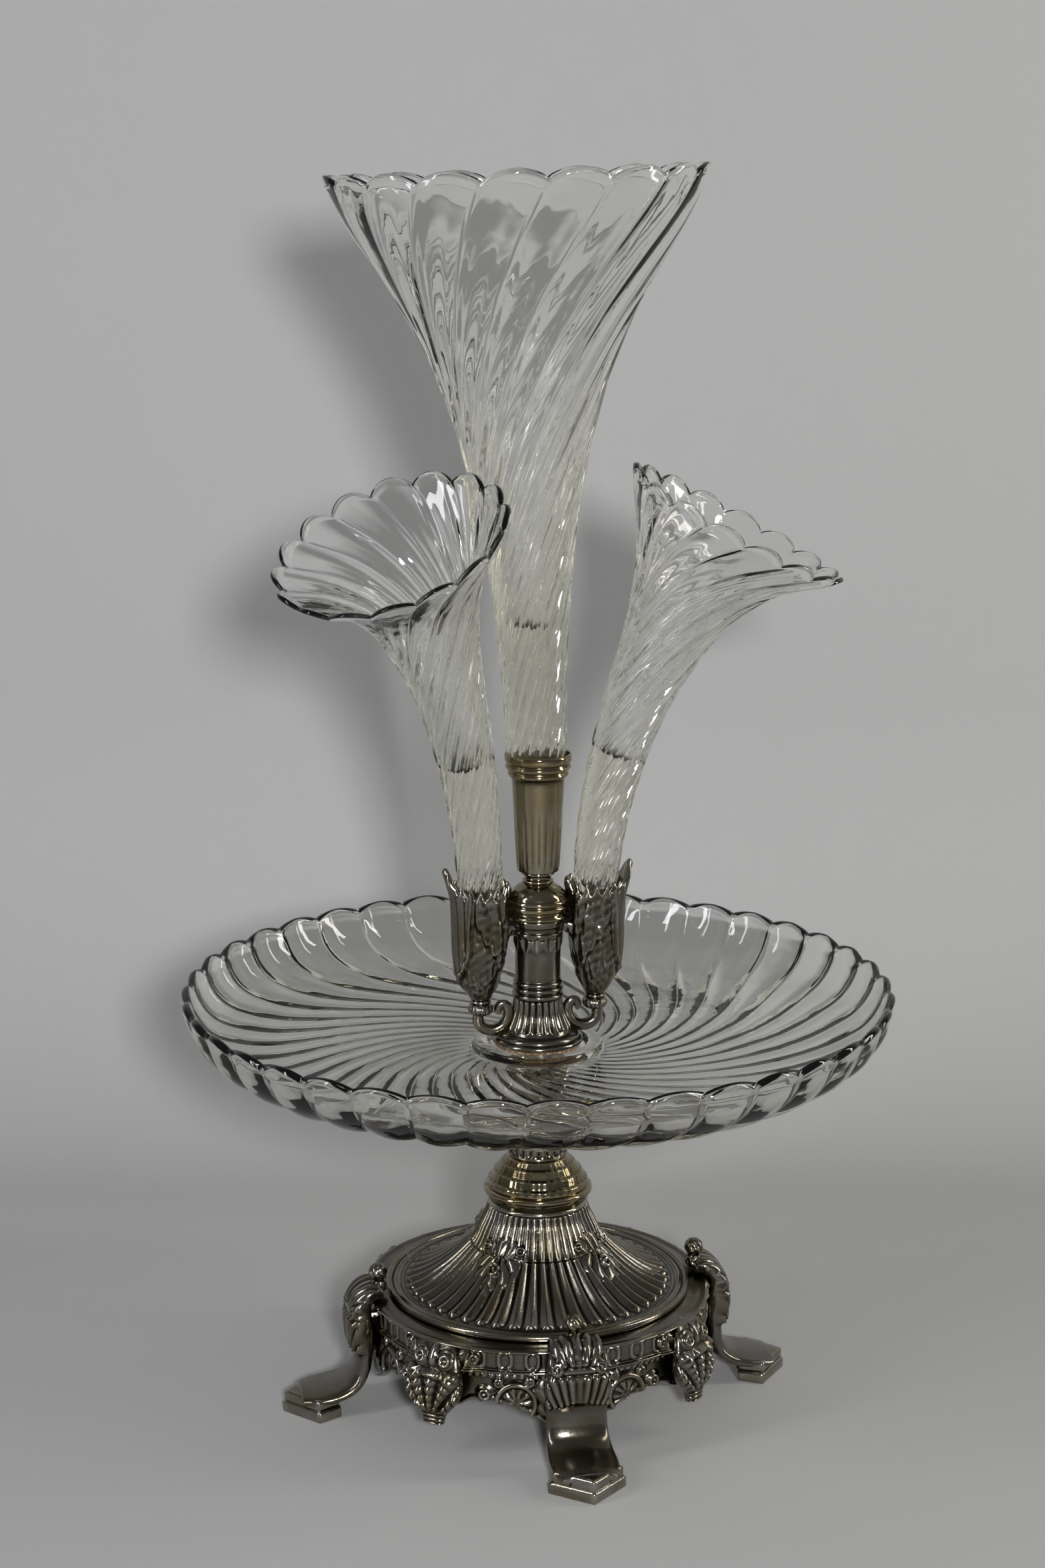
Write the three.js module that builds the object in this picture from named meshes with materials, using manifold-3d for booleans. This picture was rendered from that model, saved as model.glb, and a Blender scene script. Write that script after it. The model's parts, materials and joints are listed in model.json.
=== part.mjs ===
// A table centrepiece. A cast metal stand on four feet carries a round pressed-glass dish, and
// above the dish a column holds a tall glass trumpet vase and two small bent ones on scroll arms.
// Millimetres, +Z up. The origin is on the table, under the middle of the stand. Two feet and the
// two arms lie on the X axis. Every piece is bored for one tie rod that clamps the stack together.

import * as THREE from 'three';
import { mergeVertices } from 'three/addons/utils/BufferGeometryUtils.js';
import { LoftGeometry } from 'three/addons/geometries/LoftGeometry.js';
import Module from 'manifold-3d';

const wasm = await Module();
wasm.setup();

const TURN = Math.PI * 2;
const rad = THREE.MathUtils.degToRad;

// Clearances
const SEAT = 0.3; // between two pieces that rest on each other
const PLAY = 0.4; // round a rod, screw or peg in its hole
const HOLE_SIDES = 12;

// Tie rod and its fasteners
const ROD_RADIUS = 3;
const ROD_END = 2.4; // rod showing past each nut
const NUT_WIDTH = 10; // across its flats
const NUT_HEIGHT = 5;
const WASHER_RADIUS = 11;
const WASHER_THICKNESS = 1.5;

// Base frame: a cast ring whose plan swells a little between the feet
const FRAME_RADIUS = 68;
const FRAME_SWELL = 1.5;
const FRAME_TOP = 47;
const FRAME_WALL = 4;
const FLANGE_RADIUS = 50; // inner edge of the flange that the base dish sits on
const FLANGE_THICKNESS = 3;
const FRIEZE_HEIGHT = 10;
const APRON_BOTTOM = 24.5;
const APRON_DIP = 5.5; // how far the apron hangs behind each drop
const APRON_WEB = 12; // how far it hangs behind the shoulder of a foot
const RECESS_WIDTH = 5;
const RECESS_DEPTH = 1;
const DROP_BOTTOM = 14;
const SIDES = 4;
const FACETS_PER_SIDE = 10;
const RECESSED_FACETS = [1, 2, 3, 6, 7, 8]; // counted from a foot, with the drop between them

// Feet
const FOOT_WIDTH = 24;
const TOE_REACH = 104; // from the middle of the stand to the tip of a toe
const TOE_WIDTH = 30;
const TOE_LENGTH = 22;
const TOE_STEP = 4.5;
const KNOB_RADIUS = 3.8;
const FOOT_SCREW_RADIUS = 2;
const FOOT_SCREW_HEIGHT = 38;

// Base dish and the pieces of the stem, from the bottom up
const DISH_RADIUS = 61;
const DISH_RISE = 18; // from its flange to the seat of the cone
const DISH_WALL = 2.4;
const DISH_FLUTES = 36;
const CONE_FOOT_RADIUS = 26;
const CONE_TOP_RADIUS = 19.6;
const CONE_HEIGHT = 17.7;
const CONE_FLUTES = 24;
const COLLAR_RADIUS = 21.8;
const COLLAR_HEIGHT = 5.6;
const DOME_HEIGHT = 12;
const NECK_RADIUS = 11.4;
const NECK_HEIGHT = 38.7;
const NECK_FLUTES = 12;

// Glass dish
const PLATE_RADIUS = 140;
const PLATE_THICKNESS = 5.5;
const PLATE_RIM_HEIGHT = 26; // from the floor of the well to the tips of the lobes
const WELL_RADIUS = 100;
const PLATE_LOBES = 40;
const BOSS_RADIUS = 25;
const BOSS_HEIGHT = 2.5;
const PLATE_SWIRL = 1.35; // degrees of swirl for each millimetre of radius, at the middle
const PAD_THICKNESS = 1.2; // the cork pads on both sides of the glass

// Column
const COLUMN_FOOT_RADIUS = 18;
const COLUMN_RADIUS = 9;
const COLUMN_HEIGHT = 50.5;
const COLUMN_FLUTES = 11;
const CAP_RADIUS = 12;
const CAP_HEIGHT = 13.5;
const CUP_NECK_RADIUS = 6;
const CUP_NECK_HEIGHT = 4.3;

// Cup of the tall vase
const CUP_HEIGHT = 47;
const CUP_BOTTOM_RADIUS = 8.2;
const CUP_RADIUS = 10.4;
const CUP_RIM_RADIUS = 13.2;
const CUP_MOUTH_RADIUS = CUP_RIM_RADIUS - 1;
const CUP_FLOOR = 3.3;

// Scroll arms and their sockets
const SOCKET_GAP = 0.5; // between a socket's leaves and the column's cap
const SCROLL_HEIGHT = 15;
const SCROLL_LIFT = 3.2; // from the floor under the column to the lowest part of a scroll
const SCROLL_RADIUS = 2.1;
const PEG_RADIUS = 1.5;
const SOCKET_HEIGHT = 46.7;
const SOCKET_BORE = 8.2;
const SOCKET_WALL = 2.3;
const SOCKET_RADIUS = SOCKET_BORE + SOCKET_WALL;
const SOCKET_OFFSET = CAP_RADIUS + SOCKET_GAP + SOCKET_RADIUS; // from the column's axis
const SOCKET_MOUTH = SOCKET_BORE + 1.6;
const SOCKET_FLOOR = 21;
const SOCKET_LEAVES = 6;
const LEAF_TIP = 7; // how far the outer leaf stands over the socket's rim
const ARM_SCREW_RADIUS = 1.5;
const ARM_SCREW_HEAD = 3.6;

// Glass vases. A length along a vase runs from the rim of the cup or socket that holds it.
const TALL_LENGTH = 222.6;
const TALL_MOUTH = 73.5;
const TALL_LOBES = 18;
const TALL_SOLID = 42; // solid glass under the hollow
const TALL_SPIGOT = CUP_HEIGHT - 12;
const TALL_LEAN = 2.3; // degrees
const TALL_LEAN_AZIMUTH = 140;
const TALL_PIVOT_DEPTH = 15; // where the leaning axis meets the column's, under the cup's rim
const SMALL_LENGTH = 153;
const SMALL_MOUTH = 47;
const SMALL_LOBES = 16;
const SMALL_SOLID = 50;
const SMALL_SPIGOT = SOCKET_HEIGHT - SOCKET_FLOOR - 1.7;
const SMALL_BEND = { start: -10, radius: 198, angle: rad(28.5), sag: 4.8 };
const RIGHT_VASE_AZIMUTH = -12;
const LEFT_VASE_AZIMUTH = 222;
const GLASS_WALL = 2.8;
const SLEEVE_WALL = 1.5; // cork sleeve in a side socket
const SLEEVE_LENGTH = 18;
const SLEEVE_RADIUS = SOCKET_BORE - SEAT;
const SMALL_SPIGOT_RADIUS = SLEEVE_RADIUS - SLEEVE_WALL - SEAT;

// Heights of the seats, each worked out from the piece under it
const coneFloor = FRAME_TOP + SEAT + DISH_RISE;
const collarFloor = coneFloor + SEAT + CONE_HEIGHT;
const domeFloor = collarFloor + SEAT + COLLAR_HEIGHT;
const neckFloor = domeFloor + SEAT + DOME_HEIGHT;
const lowerPadFloor = neckFloor + SEAT + NECK_HEIGHT;
const plateFloor = lowerPadFloor + SEAT + PAD_THICKNESS;
const wellFloor = plateFloor + PLATE_THICKNESS;
const upperPadFloor = wellFloor + SEAT;
const columnFloor = upperPadFloor + PAD_THICKNESS + SEAT;
const capFloor = columnFloor + COLUMN_HEIGHT + SEAT;
const cupNeckFloor = capFloor + CAP_HEIGHT + SEAT;
const cupFloor = cupNeckFloor + CUP_NECK_HEIGHT + SEAT;
const cupRim = cupFloor + CUP_HEIGHT;
const scrollFloor = columnFloor + SCROLL_LIFT;
const socketFoot = scrollFloor + SCROLL_HEIGHT + SEAT;
const socketRim = socketFoot + SOCKET_HEIGHT;
const dishUnderside = coneFloor - 4;
const rodFloor = dishUnderside - SEAT - WASHER_THICKNESS - SEAT - NUT_HEIGHT - ROD_END;
const cupNutFloor = cupFloor + CUP_FLOOR + SEAT;
const rodTop = cupNutFloor + NUT_HEIGHT + ROD_END;
const rodHole = ROD_RADIUS + PLAY;

const centrepiece = new THREE.Group();

const metal = (color) => new THREE.MeshStandardMaterial({ color, metalness: 1, roughness: 0.32 });
const castMetal = metal(0x6e685c);
const brightMetal = metal(0x857c68);
const fastenerMetal = metal(0x9a9a98);
const cork = new THREE.MeshStandardMaterial({ color: 0x9c7a52, metalness: 0, roughness: 0.9 });
const clearGlass = new THREE.MeshStandardMaterial({
  color: 0xdfe4dc,
  metalness: 0,
  roughness: 0.05,
  transparent: true,
  opacity: 0.45,
});

function piece(name, geometry, material) {
  const mesh = new THREE.Mesh(geometry, material);
  mesh.name = name;
  centrepiece.add(mesh);
  return mesh;
}

// A closed geometry as a solid that can be joined and cut, and back again.
function solidOf(geometry) {
  const bare = new THREE.BufferGeometry().copy(geometry);
  bare.deleteAttribute('normal');
  bare.deleteAttribute('uv');
  const merged = mergeVertices(bare, 1e-4);
  const mesh = new wasm.Mesh({
    numProp: 3,
    vertProperties: merged.attributes.position.array,
    triVerts: new Uint32Array(merged.index.array),
  });
  return new wasm.Manifold(mesh);
}

function geometryOf(solid) {
  const mesh = solid.getMesh();
  const geometry = new THREE.BufferGeometry();
  geometry.setAttribute('position', new THREE.BufferAttribute(mesh.vertProperties, 3));
  geometry.setIndex(new THREE.BufferAttribute(mesh.triVerts, 1));
  return geometry;
}

function join(...geometries) {
  return geometryOf(geometries.map(solidOf).reduce((whole, part) => whole.add(part)));
}

function cut(geometry, ...tools) {
  return geometryOf(tools.map(solidOf).reduce((whole, tool) => whole.subtract(tool), solidOf(geometry)));
}

// A ring of points round the Z axis. The radius and the height are numbers or functions of the
// point's number in the ring and its angle, and twist turns the whole ring.
function ring(count, radius, height, twist = 0) {
  const value = (size, i, angle) => (typeof size === 'function' ? size(i, angle) : size);
  return Array.from({ length: count }, (_, i) => {
    const angle = (TURN * i) / count;
    const r = value(radius, i, angle);
    const z = value(height, i, angle);
    return new THREE.Vector3(r * Math.cos(angle + twist), r * Math.sin(angle + twist), z);
  });
}

const pole = (z) => [new THREE.Vector3(0, 0, z)];

// The skin through a row of rings, which go up the outside and down the inside. The rings may
// have different numbers of points, a pole is a ring of one, and a loop joins the last to the first.
function skin(rings, loop = false) {
  const starts = [];
  let points = 0;
  for (const each of rings) {
    starts.push(points);
    points += each.length;
  }
  const faces = [];
  const bands = loop ? rings.length : rings.length - 1;
  for (let band = 0; band < bands; band++) {
    const next = (band + 1) % rings.length;
    faces.push(...stitched(starts[band], rings[band].length, starts[next], rings[next].length));
  }
  const geometry = new THREE.BufferGeometry().setFromPoints(rings.flat());
  geometry.setIndex(faces);
  return geometry;
}

// Triangles between two rings of points, walking round both of them at the same rate.
function stitched(lowStart, lowCount, highStart, highCount) {
  const faces = [];
  const lowSteps = lowCount > 1 ? lowCount : 0;
  const highSteps = highCount > 1 ? highCount : 0;
  let low = 0;
  let high = 0;
  while (low < lowSteps || high < highSteps) {
    const here = lowStart + (low % lowCount);
    const there = highStart + (high % highCount);
    const lowIsBehind = (low + 0.5) * highSteps <= (high + 0.5) * lowSteps;
    if (low < lowSteps && (high >= highSteps || lowIsBehind)) {
      low++;
      faces.push(here, lowStart + (low % lowCount), there);
    } else {
      high++;
      faces.push(here, highStart + (high % highCount), there);
    }
  }
  return faces;
}

// A turned piece. The outline runs up its outside as [radius, height], and the bore, if there is
// one, goes right through it on the axis.
function turned(outline, sides, bore = 0) {
  const heights = outline.map(([, z]) => z);
  const start = [bore, heights[0]];
  const end = [bore, heights[heights.length - 1]];
  const closed = bore > 0 ? [start, ...outline, end, start] : [start, ...outline, end];
  const profile = closed.map(([r, z]) => new THREE.Vector2(r, z));
  const geometry = new THREE.LatheGeometry(profile, sides);
  geometry.rotateX(Math.PI / 2);
  return geometry;
}

function rodAlongZ(radius, bottom, top, sides = HOLE_SIDES) {
  const geometry = new THREE.CylinderGeometry(radius, radius, top - bottom, sides);
  geometry.rotateX(Math.PI / 2);
  geometry.translate(0, 0, (bottom + top) / 2);
  return geometry;
}

function rodAlongX(radius, inner, outer, height, sides = HOLE_SIDES) {
  const geometry = rodAlongZ(radius, inner, outer, sides);
  geometry.rotateY(Math.PI / 2);
  geometry.translate(0, 0, height);
  return geometry;
}

// A bar swept through stations in the XZ plane, each [x, z, width across Y, thickness]. Its section
// is a rectangle with cut corners.
function bar(stations, corner = 0.35) {
  const path = stations.map(([x, z]) => new THREE.Vector3(x, 0, z));
  const section = [];
  for (const [across, up] of [[1, 1], [-1, 1], [-1, -1], [1, -1]]) {
    const long = [across, up * (1 - corner)];
    const short = [across * (1 - corner), up];
    section.push(...(across * up > 0 ? [long, short] : [short, long]));
  }
  const sections = stations.map(([, , width, thickness], i) => {
    const before = path[Math.max(i - 1, 0)];
    const after = path[Math.min(i + 1, path.length - 1)];
    const along = after.clone().sub(before).normalize();
    const across = new THREE.Vector3(0, 1, 0);
    const outward = along.clone().cross(across);
    return section.map(([a, b]) =>
      path[i].clone()
        .addScaledVector(across, (a * width) / 2)
        .addScaledVector(outward, (b * thickness) / 2));
  });
  return new LoftGeometry(sections, { capStart: true, capEnd: true });
}

// Base frame

const plan = (angle) => FRAME_SWELL * (1 - Math.cos(SIDES * angle)) / 2;

function apronEdge(angle) {
  const side = TURN / SIDES;
  const fromDrop = Math.abs((angle % side) - side / 2);
  const dip = APRON_DIP * Math.exp(-((fromDrop / rad(9)) ** 2));
  const web = APRON_WEB * Math.exp(-(((side / 2 - fromDrop) / rad(14)) ** 2));
  return APRON_BOTTOM - dip - web;
}

// The outside of the frame as [radius, height or apron edge], grown outwards by a clearance
function frameOutline(grow = 0) {
  const friezeTop = FRAME_TOP - 1.8;
  const friezeBottom = friezeTop - FRIEZE_HEIGHT;
  return [
    [FRAME_RADIUS - 1.5 + grow, friezeBottom - 2.8],
    [FRAME_RADIUS + 0.6 + grow, friezeBottom - 1.6],
    [FRAME_RADIUS - 0.8 + grow, friezeBottom],
    [FRAME_RADIUS - 0.8 + grow, friezeTop],
    [FRAME_RADIUS + 0.8 + grow, FRAME_TOP - 1.2],
    [FRAME_RADIUS - 0.8 + grow, FRAME_TOP - 0.6 + grow],
    [DISH_RADIUS + 1 + grow, FRAME_TOP + grow],
  ];
}

function baseFrame() {
  const outerSides = SIDES * FACETS_PER_SIDE;
  const innerSides = outerSides / 2;
  const inner = FRAME_RADIUS - FRAME_WALL;
  const rings = [ring(outerSides, (i, a) => FRAME_RADIUS - 1.5 + plan(a), (i, a) => apronEdge(a))];
  for (const [radius, height] of frameOutline()) {
    rings.push(ring(outerSides, (i, a) => radius + plan(a), height));
  }
  rings.push(ring(innerSides, FLANGE_RADIUS, FRAME_TOP));
  rings.push(ring(innerSides, FLANGE_RADIUS, FRAME_TOP - FLANGE_THICKNESS));
  rings.push(ring(innerSides, inner, FRAME_TOP - FLANGE_THICKNESS));
  rings.push(ring(outerSides, inner, (i, a) => apronEdge(a)));
  const casting = skin(rings, true);

  const drops = [];
  const recesses = [];
  const holes = [];
  const friezeMiddle = FRAME_TOP - 1.8 - FRIEZE_HEIGHT / 2;
  for (let side = 0; side < SIDES; side++) {
    const middle = (TURN * (side + 0.5)) / SIDES;
    drops.push(shellDrop().rotateZ(middle));
    holes.push(footScrewHole().rotateZ((TURN * side) / SIDES));
    for (const facet of RECESSED_FACETS) {
      const angle = (TURN * (side + (facet + 0.5) / FACETS_PER_SIDE)) / SIDES;
      const recess = new THREE.BoxGeometry(2 * RECESS_DEPTH, RECESS_WIDTH, FRIEZE_HEIGHT - 2);
      recess.translate(FRAME_RADIUS - 0.8 + plan(angle), 0, friezeMiddle);
      recesses.push(recess.rotateZ(angle));
    }
  }
  return cut(join(casting, ...drops), ...recesses, ...holes);
}

// The shell that hangs over the middle of a side, on +X before it is turned to its place
function shellDrop() {
  const r = FRAME_RADIUS + FRAME_SWELL;
  const fall = FRAME_TOP - DROP_BOTTOM;
  return bar([
    [r - 0.4, FRAME_TOP - 1.5, 13, 3],
    [r + 1.4, FRAME_TOP - 0.25 * fall, 19, 6],
    [r + 2.6, FRAME_TOP - 0.55 * fall, 20, 8],
    [r + 3.4, FRAME_TOP - 0.8 * fall, 14, 7],
    [r + 3.8, DROP_BOTTOM, 8, 5],
  ], 0.5);
}

const footScrewHole = () =>
  rodAlongX(FOOT_SCREW_RADIUS + PLAY, FRAME_RADIUS - 12, FRAME_RADIUS + 7, FOOT_SCREW_HEIGHT, 8);

// Feet, each drawn on +X

function foot() {
  const shoulder = FRAME_RADIUS + 4;
  const knobCircle = DISH_RADIUS + SEAT + KNOB_RADIUS;
  const leg = bar([
    [knobCircle - 1, FRAME_TOP + 2.2, FOOT_WIDTH - 8, 4],
    [FRAME_RADIUS + 0.5, FRAME_TOP + 1.6, FOOT_WIDTH - 5, 5],
    [shoulder + 0.5, FRAME_TOP - 4, FOOT_WIDTH - 1, 8],
    [shoulder + 0.5, FRAME_TOP - 12, FOOT_WIDTH, 9.5],
    [shoulder, FRAME_TOP - 20, FOOT_WIDTH, 9],
    [shoulder + 0.4, FRAME_TOP - 27, FOOT_WIDTH + 0.5, 8.5],
    [shoulder + 4, 12.8, FOOT_WIDTH - 1, 8],
    [TOE_REACH - 18, 9.5, FOOT_WIDTH, 7.5],
    [TOE_REACH - 8, 7.4, FOOT_WIDTH - 3, 5.5],
  ]);
  const knob = turned([
    [KNOB_RADIUS, FRAME_TOP + 2],
    [KNOB_RADIUS * 0.55, FRAME_TOP + 5.6],
    [KNOB_RADIUS, FRAME_TOP + 8.4],
    [KNOB_RADIUS * 0.9, FRAME_TOP + 11],
    [KNOB_RADIUS * 0.3, FRAME_TOP + 13],
  ], 8);
  knob.translate(knobCircle, 0, 0);
  const facets = SIDES * FACETS_PER_SIDE;
  const rings = frameOutline(SEAT).map(([r, z]) => ring(facets, (i, a) => r + plan(a), z));
  const frameSpace = skin([pole(rings[0][0].z), ...rings, pole(FRAME_TOP + SEAT)]);
  return cut(
    join(leg, knob, toe(0, TOE_STEP, 1), toe(TOE_STEP - 0.5, 2 * TOE_STEP, 0.84)),
    frameSpace,
    footScrewHole(),
  );
}

// One step of the pointed toe pad
function toe(bottom, top, scale) {
  const middle = TOE_REACH - TOE_LENGTH / 2;
  const outline = [
    [-TOE_LENGTH / 2, -TOE_WIDTH / 3],
    [-TOE_LENGTH / 12, -TOE_WIDTH / 2],
    [TOE_LENGTH / 2, 0],
    [-TOE_LENGTH / 12, TOE_WIDTH / 2],
    [-TOE_LENGTH / 2, TOE_WIDTH / 3],
  ];
  const shape = new THREE.Shape(outline.map(([x, y]) => new THREE.Vector2(middle + x * scale, y * scale)));
  const pad = new THREE.ExtrudeGeometry(shape, { depth: top - bottom, bevelEnabled: false });
  return pad.translate(0, 0, bottom);
}

function footScrew() {
  const wall = FRAME_RADIUS - FRAME_WALL - PLAY - SEAT;
  const shank = rodAlongX(FOOT_SCREW_RADIUS, wall - 1, FRAME_RADIUS + 7 - PLAY, FOOT_SCREW_HEIGHT, 8);
  const head = rodAlongX(2 * FOOT_SCREW_RADIUS, wall - 2.4, wall, FOOT_SCREW_HEIGHT, 8);
  return join(shank, head);
}

// Base dish: two mouldings round a fluted slope that rises to the seat of the cone

const fluted = (radius, depth) => (i) => radius + (i % 2 ? -depth : depth);

function baseDish() {
  const floor = FRAME_TOP + SEAT;
  const sides = 32;
  const flutes = 2 * DISH_FLUTES;
  const slopeRadius = (share) => THREE.MathUtils.lerp(DISH_RADIUS - 6, CONE_FOOT_RADIUS + 0.5, share);
  const slopeHeight = (share) => floor + 1.4 + (DISH_RISE - 1.4) * share ** 1.7;
  const slope = [0.04, 0.4, 0.72, 0.97].map((share) => {
    const relief = 0.7 * Math.sin(Math.PI * Math.min(share, 0.9));
    return ring(flutes, slopeRadius(share), (i) => slopeHeight(share) + (i % 2 ? -relief : relief));
  });
  const underside = (share) => ring(HOLE_SIDES, slopeRadius(share), slopeHeight(share) - DISH_WALL - 1);
  return skin([
    ring(sides, FLANGE_RADIUS, floor),
    ring(sides, DISH_RADIUS, floor),
    ring(sides, DISH_RADIUS, floor + 1.6),
    ring(sides, DISH_RADIUS - 1, floor + 2.4),
    ring(sides, DISH_RADIUS - 2.2, floor + 1.5),
    ring(sides, DISH_RADIUS - 3.6, floor + 2.2),
    ...slope,
    ring(sides, CONE_FOOT_RADIUS - 1, coneFloor),
    ring(HOLE_SIDES, rodHole, coneFloor),
    ring(HOLE_SIDES, rodHole, dishUnderside),
    ring(HOLE_SIDES, CONE_FOOT_RADIUS - 5, dishUnderside),
    underside(0.8),
    underside(0.5),
  ], true);
}

// Stem: a fluted cone with a band of leaves, a collar, a stepped dome and a fluted neck

function stemCone() {
  const floor = coneFloor + SEAT;
  const sides = 2 * CONE_FLUTES;
  const leaves = (radius) => (i, angle) => radius + 0.9 * Math.cos(8 * angle) + (i % 2 ? -0.25 : 0.25);
  const at = (share) => floor + CONE_HEIGHT * share;
  const waist = THREE.MathUtils.lerp(CONE_FOOT_RADIUS, CONE_TOP_RADIUS, 0.6);
  return skin([
    ring(HOLE_SIDES, rodHole, floor),
    ring(24, CONE_FOOT_RADIUS - 0.8, floor),
    ring(sides, leaves(CONE_FOOT_RADIUS - 0.4), at(0.1)),
    ring(sides, fluted(CONE_FOOT_RADIUS - 1.4, 0.5), at(0.32)),
    ring(sides, fluted(waist, 0.55), at(0.54)),
    ring(sides, fluted(CONE_TOP_RADIUS + 0.4, 0.45), at(0.7)),
    ring(sides, fluted(CONE_TOP_RADIUS, 0.4), at(0.9)),
    ring(24, CONE_TOP_RADIUS + 0.4, at(0.92)),
    ring(24, CONE_TOP_RADIUS + 0.4, at(1)),
    ring(HOLE_SIDES, rodHole, at(1)),
  ], true);
}

function stemCollar() {
  const floor = collarFloor + SEAT;
  return turned([
    [COLLAR_RADIUS - 2.3, floor],
    [COLLAR_RADIUS - 2.3, floor + 0.5 * COLLAR_HEIGHT],
    [COLLAR_RADIUS - 0.3, floor + 0.58 * COLLAR_HEIGHT],
    [COLLAR_RADIUS, floor + 0.8 * COLLAR_HEIGHT],
    [COLLAR_RADIUS - 0.7, floor + COLLAR_HEIGHT],
  ], 28, rodHole);
}

function stemDome() {
  const floor = domeFloor + SEAT;
  const top = NECK_RADIUS + 0.6;
  const foot = COLLAR_RADIUS - 1.6;
  const steps = 4;
  const outline = [[foot, floor]];
  for (let step = 0; step < steps; step++) {
    const share = (step + 1) / steps;
    const radius = top + (foot - top) * (1 - share ** 1.5);
    outline.push([Math.max(radius + 0.6, top), floor + DOME_HEIGHT * (share - 0.06)]);
    outline.push([radius, floor + DOME_HEIGHT * share]);
  }
  return turned(outline, 24, rodHole);
}

function stemNeck() {
  const floor = neckFloor + SEAT;
  const sides = 2 * NECK_FLUTES;
  const at = (share) => floor + NECK_HEIGHT * share;
  return skin([
    ring(HOLE_SIDES, rodHole, floor),
    ring(sides, NECK_RADIUS + 0.2, floor),
    ring(sides, fluted(NECK_RADIUS - 0.3, 0.45), at(0.06)),
    ring(sides, fluted(NECK_RADIUS - 1.6, 0.45), at(0.5)),
    ring(sides, fluted(NECK_RADIUS - 0.2, 0.45), at(0.82)),
    ring(sides, NECK_RADIUS + 2, at(0.92)),
    ring(sides, NECK_RADIUS + 2, at(1)),
    ring(HOLE_SIDES, rodHole, at(1)),
  ], true);
}

const pad = (radius, floor) =>
  turned([[radius, floor], [radius, floor + PAD_THICKNESS]], 16, rodHole);

// Glass dish: a flat well, a slope that swirls out of it and a rim of thick lobes

function glassPlate() {
  const rimSides = 3 * PLATE_LOBES;
  const slopeSides = 2 * PLATE_LOBES;
  const under = plateFloor;
  const top = wellFloor;
  const rimTop = wellFloor + PLATE_RIM_HEIGHT;
  const swirl = (radius) => rad(PLATE_SWIRL) * (radius - radius ** 2 / (2 * PLATE_RADIUS));
  const lobe = (angle) => Math.cos(PLATE_LOBES * angle);
  const glassRing = (radius, height, radial, rise, count) =>
    ring(
      count,
      (i, a) => radius + radial * (lobe(a) - 1),
      (i, a) => height + rise * (lobe(a) - 1),
      swirl(radius) - swirl(PLATE_RADIUS),
    );
  const recess = COLUMN_FOOT_RADIUS + SEAT + PLAY;
  return skin([
    ring(HOLE_SIDES, rodHole, under),
    ring(24, BOSS_RADIUS, under),
    glassRing(0.62 * WELL_RADIUS, under, 0, 0.3, slopeSides),
    glassRing(WELL_RADIUS, under + 0.6, 0, 0.35, slopeSides),
    glassRing(WELL_RADIUS + 20, under + 0.2 * PLATE_RIM_HEIGHT, 0, 0.35, slopeSides),
    glassRing(PLATE_RADIUS - 6, under + 0.56 * PLATE_RIM_HEIGHT, 0.5, 0.3, slopeSides),
    glassRing(PLATE_RADIUS - 1.4, under + 0.92 * PLATE_RIM_HEIGHT, 1.0, 0.3, rimSides),
    glassRing(PLATE_RADIUS, rimTop - 1.6, 1.5, 1.4, rimSides),
    glassRing(PLATE_RADIUS - 3.2, rimTop, 1.2, 1.4, rimSides),
    glassRing(PLATE_RADIUS - 10, top + 0.55 * PLATE_RIM_HEIGHT, 0.2, 0.2, slopeSides),
    ring(40, WELL_RADIUS + 14, top + 0.18 * PLATE_RIM_HEIGHT),
    ring(40, WELL_RADIUS - 8, top),
    ring(24, BOSS_RADIUS + 1, top),
    ring(24, BOSS_RADIUS - 0.6, top + BOSS_HEIGHT),
    ring(24, recess + 1, top + BOSS_HEIGHT),
    ring(24, recess, top),
    ring(HOLE_SIDES, rodHole, top),
  ], true);
}

// Column: a stepped foot, a fluted waist between rings, a plain shaft and a collar

const columnOutline = (grow = 0) => {
  const at = (height) => columnFloor + height;
  return [
    [COLUMN_FOOT_RADIUS + grow, at(0) - grow],
    [COLUMN_FOOT_RADIUS + grow, at(1.8) + grow],
    [COLUMN_FOOT_RADIUS - 2 + grow, at(2.2) + grow],
    [COLUMN_FOOT_RADIUS - 2.6 + grow, at(3.6) + grow],
    [COLUMN_RADIUS + 4.2 + grow, at(5.2) + grow],
  ];
};

function column() {
  const sides = 2 * COLUMN_FLUTES;
  const at = (height) => columnFloor + height;
  const top = COLUMN_HEIGHT;
  const plain = (radius, height) => ring(sides, radius, at(height));
  const body = skin([
    ring(HOLE_SIDES, rodHole, at(0)),
    ...columnOutline().map(([r, z]) => ring(sides, r, z)),
    ring(sides, fluted(COLUMN_RADIUS + 3.2, 0.4), at(6.6)),
    ring(sides, fluted(COLUMN_RADIUS + 0.8, 0.5), at(12)),
    ring(sides, fluted(COLUMN_RADIUS - 0.2, 0.4), at(18)),
    plain(COLUMN_RADIUS + 1.1, 20),
    plain(COLUMN_RADIUS + 0.3, 21.6),
    plain(COLUMN_RADIUS + 1.1, 23.4),
    plain(COLUMN_RADIUS, 24.8),
    plain(COLUMN_RADIUS, top - 6.6),
    plain(COLUMN_RADIUS + 1, top - 6),
    plain(COLUMN_RADIUS + 1, top),
    ring(HOLE_SIDES, rodHole, at(top)),
  ], true);
  const depth = COLUMN_FOOT_RADIUS;
  const hole = rodAlongX(PEG_RADIUS + PLAY, -depth, -rodHole - 2.6, pegHeight, 8);
  const otherHole = rodAlongX(PEG_RADIUS + PLAY, rodHole + 2.6, depth, pegHeight, 8);
  return cut(body, hole, otherHole);
}

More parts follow.
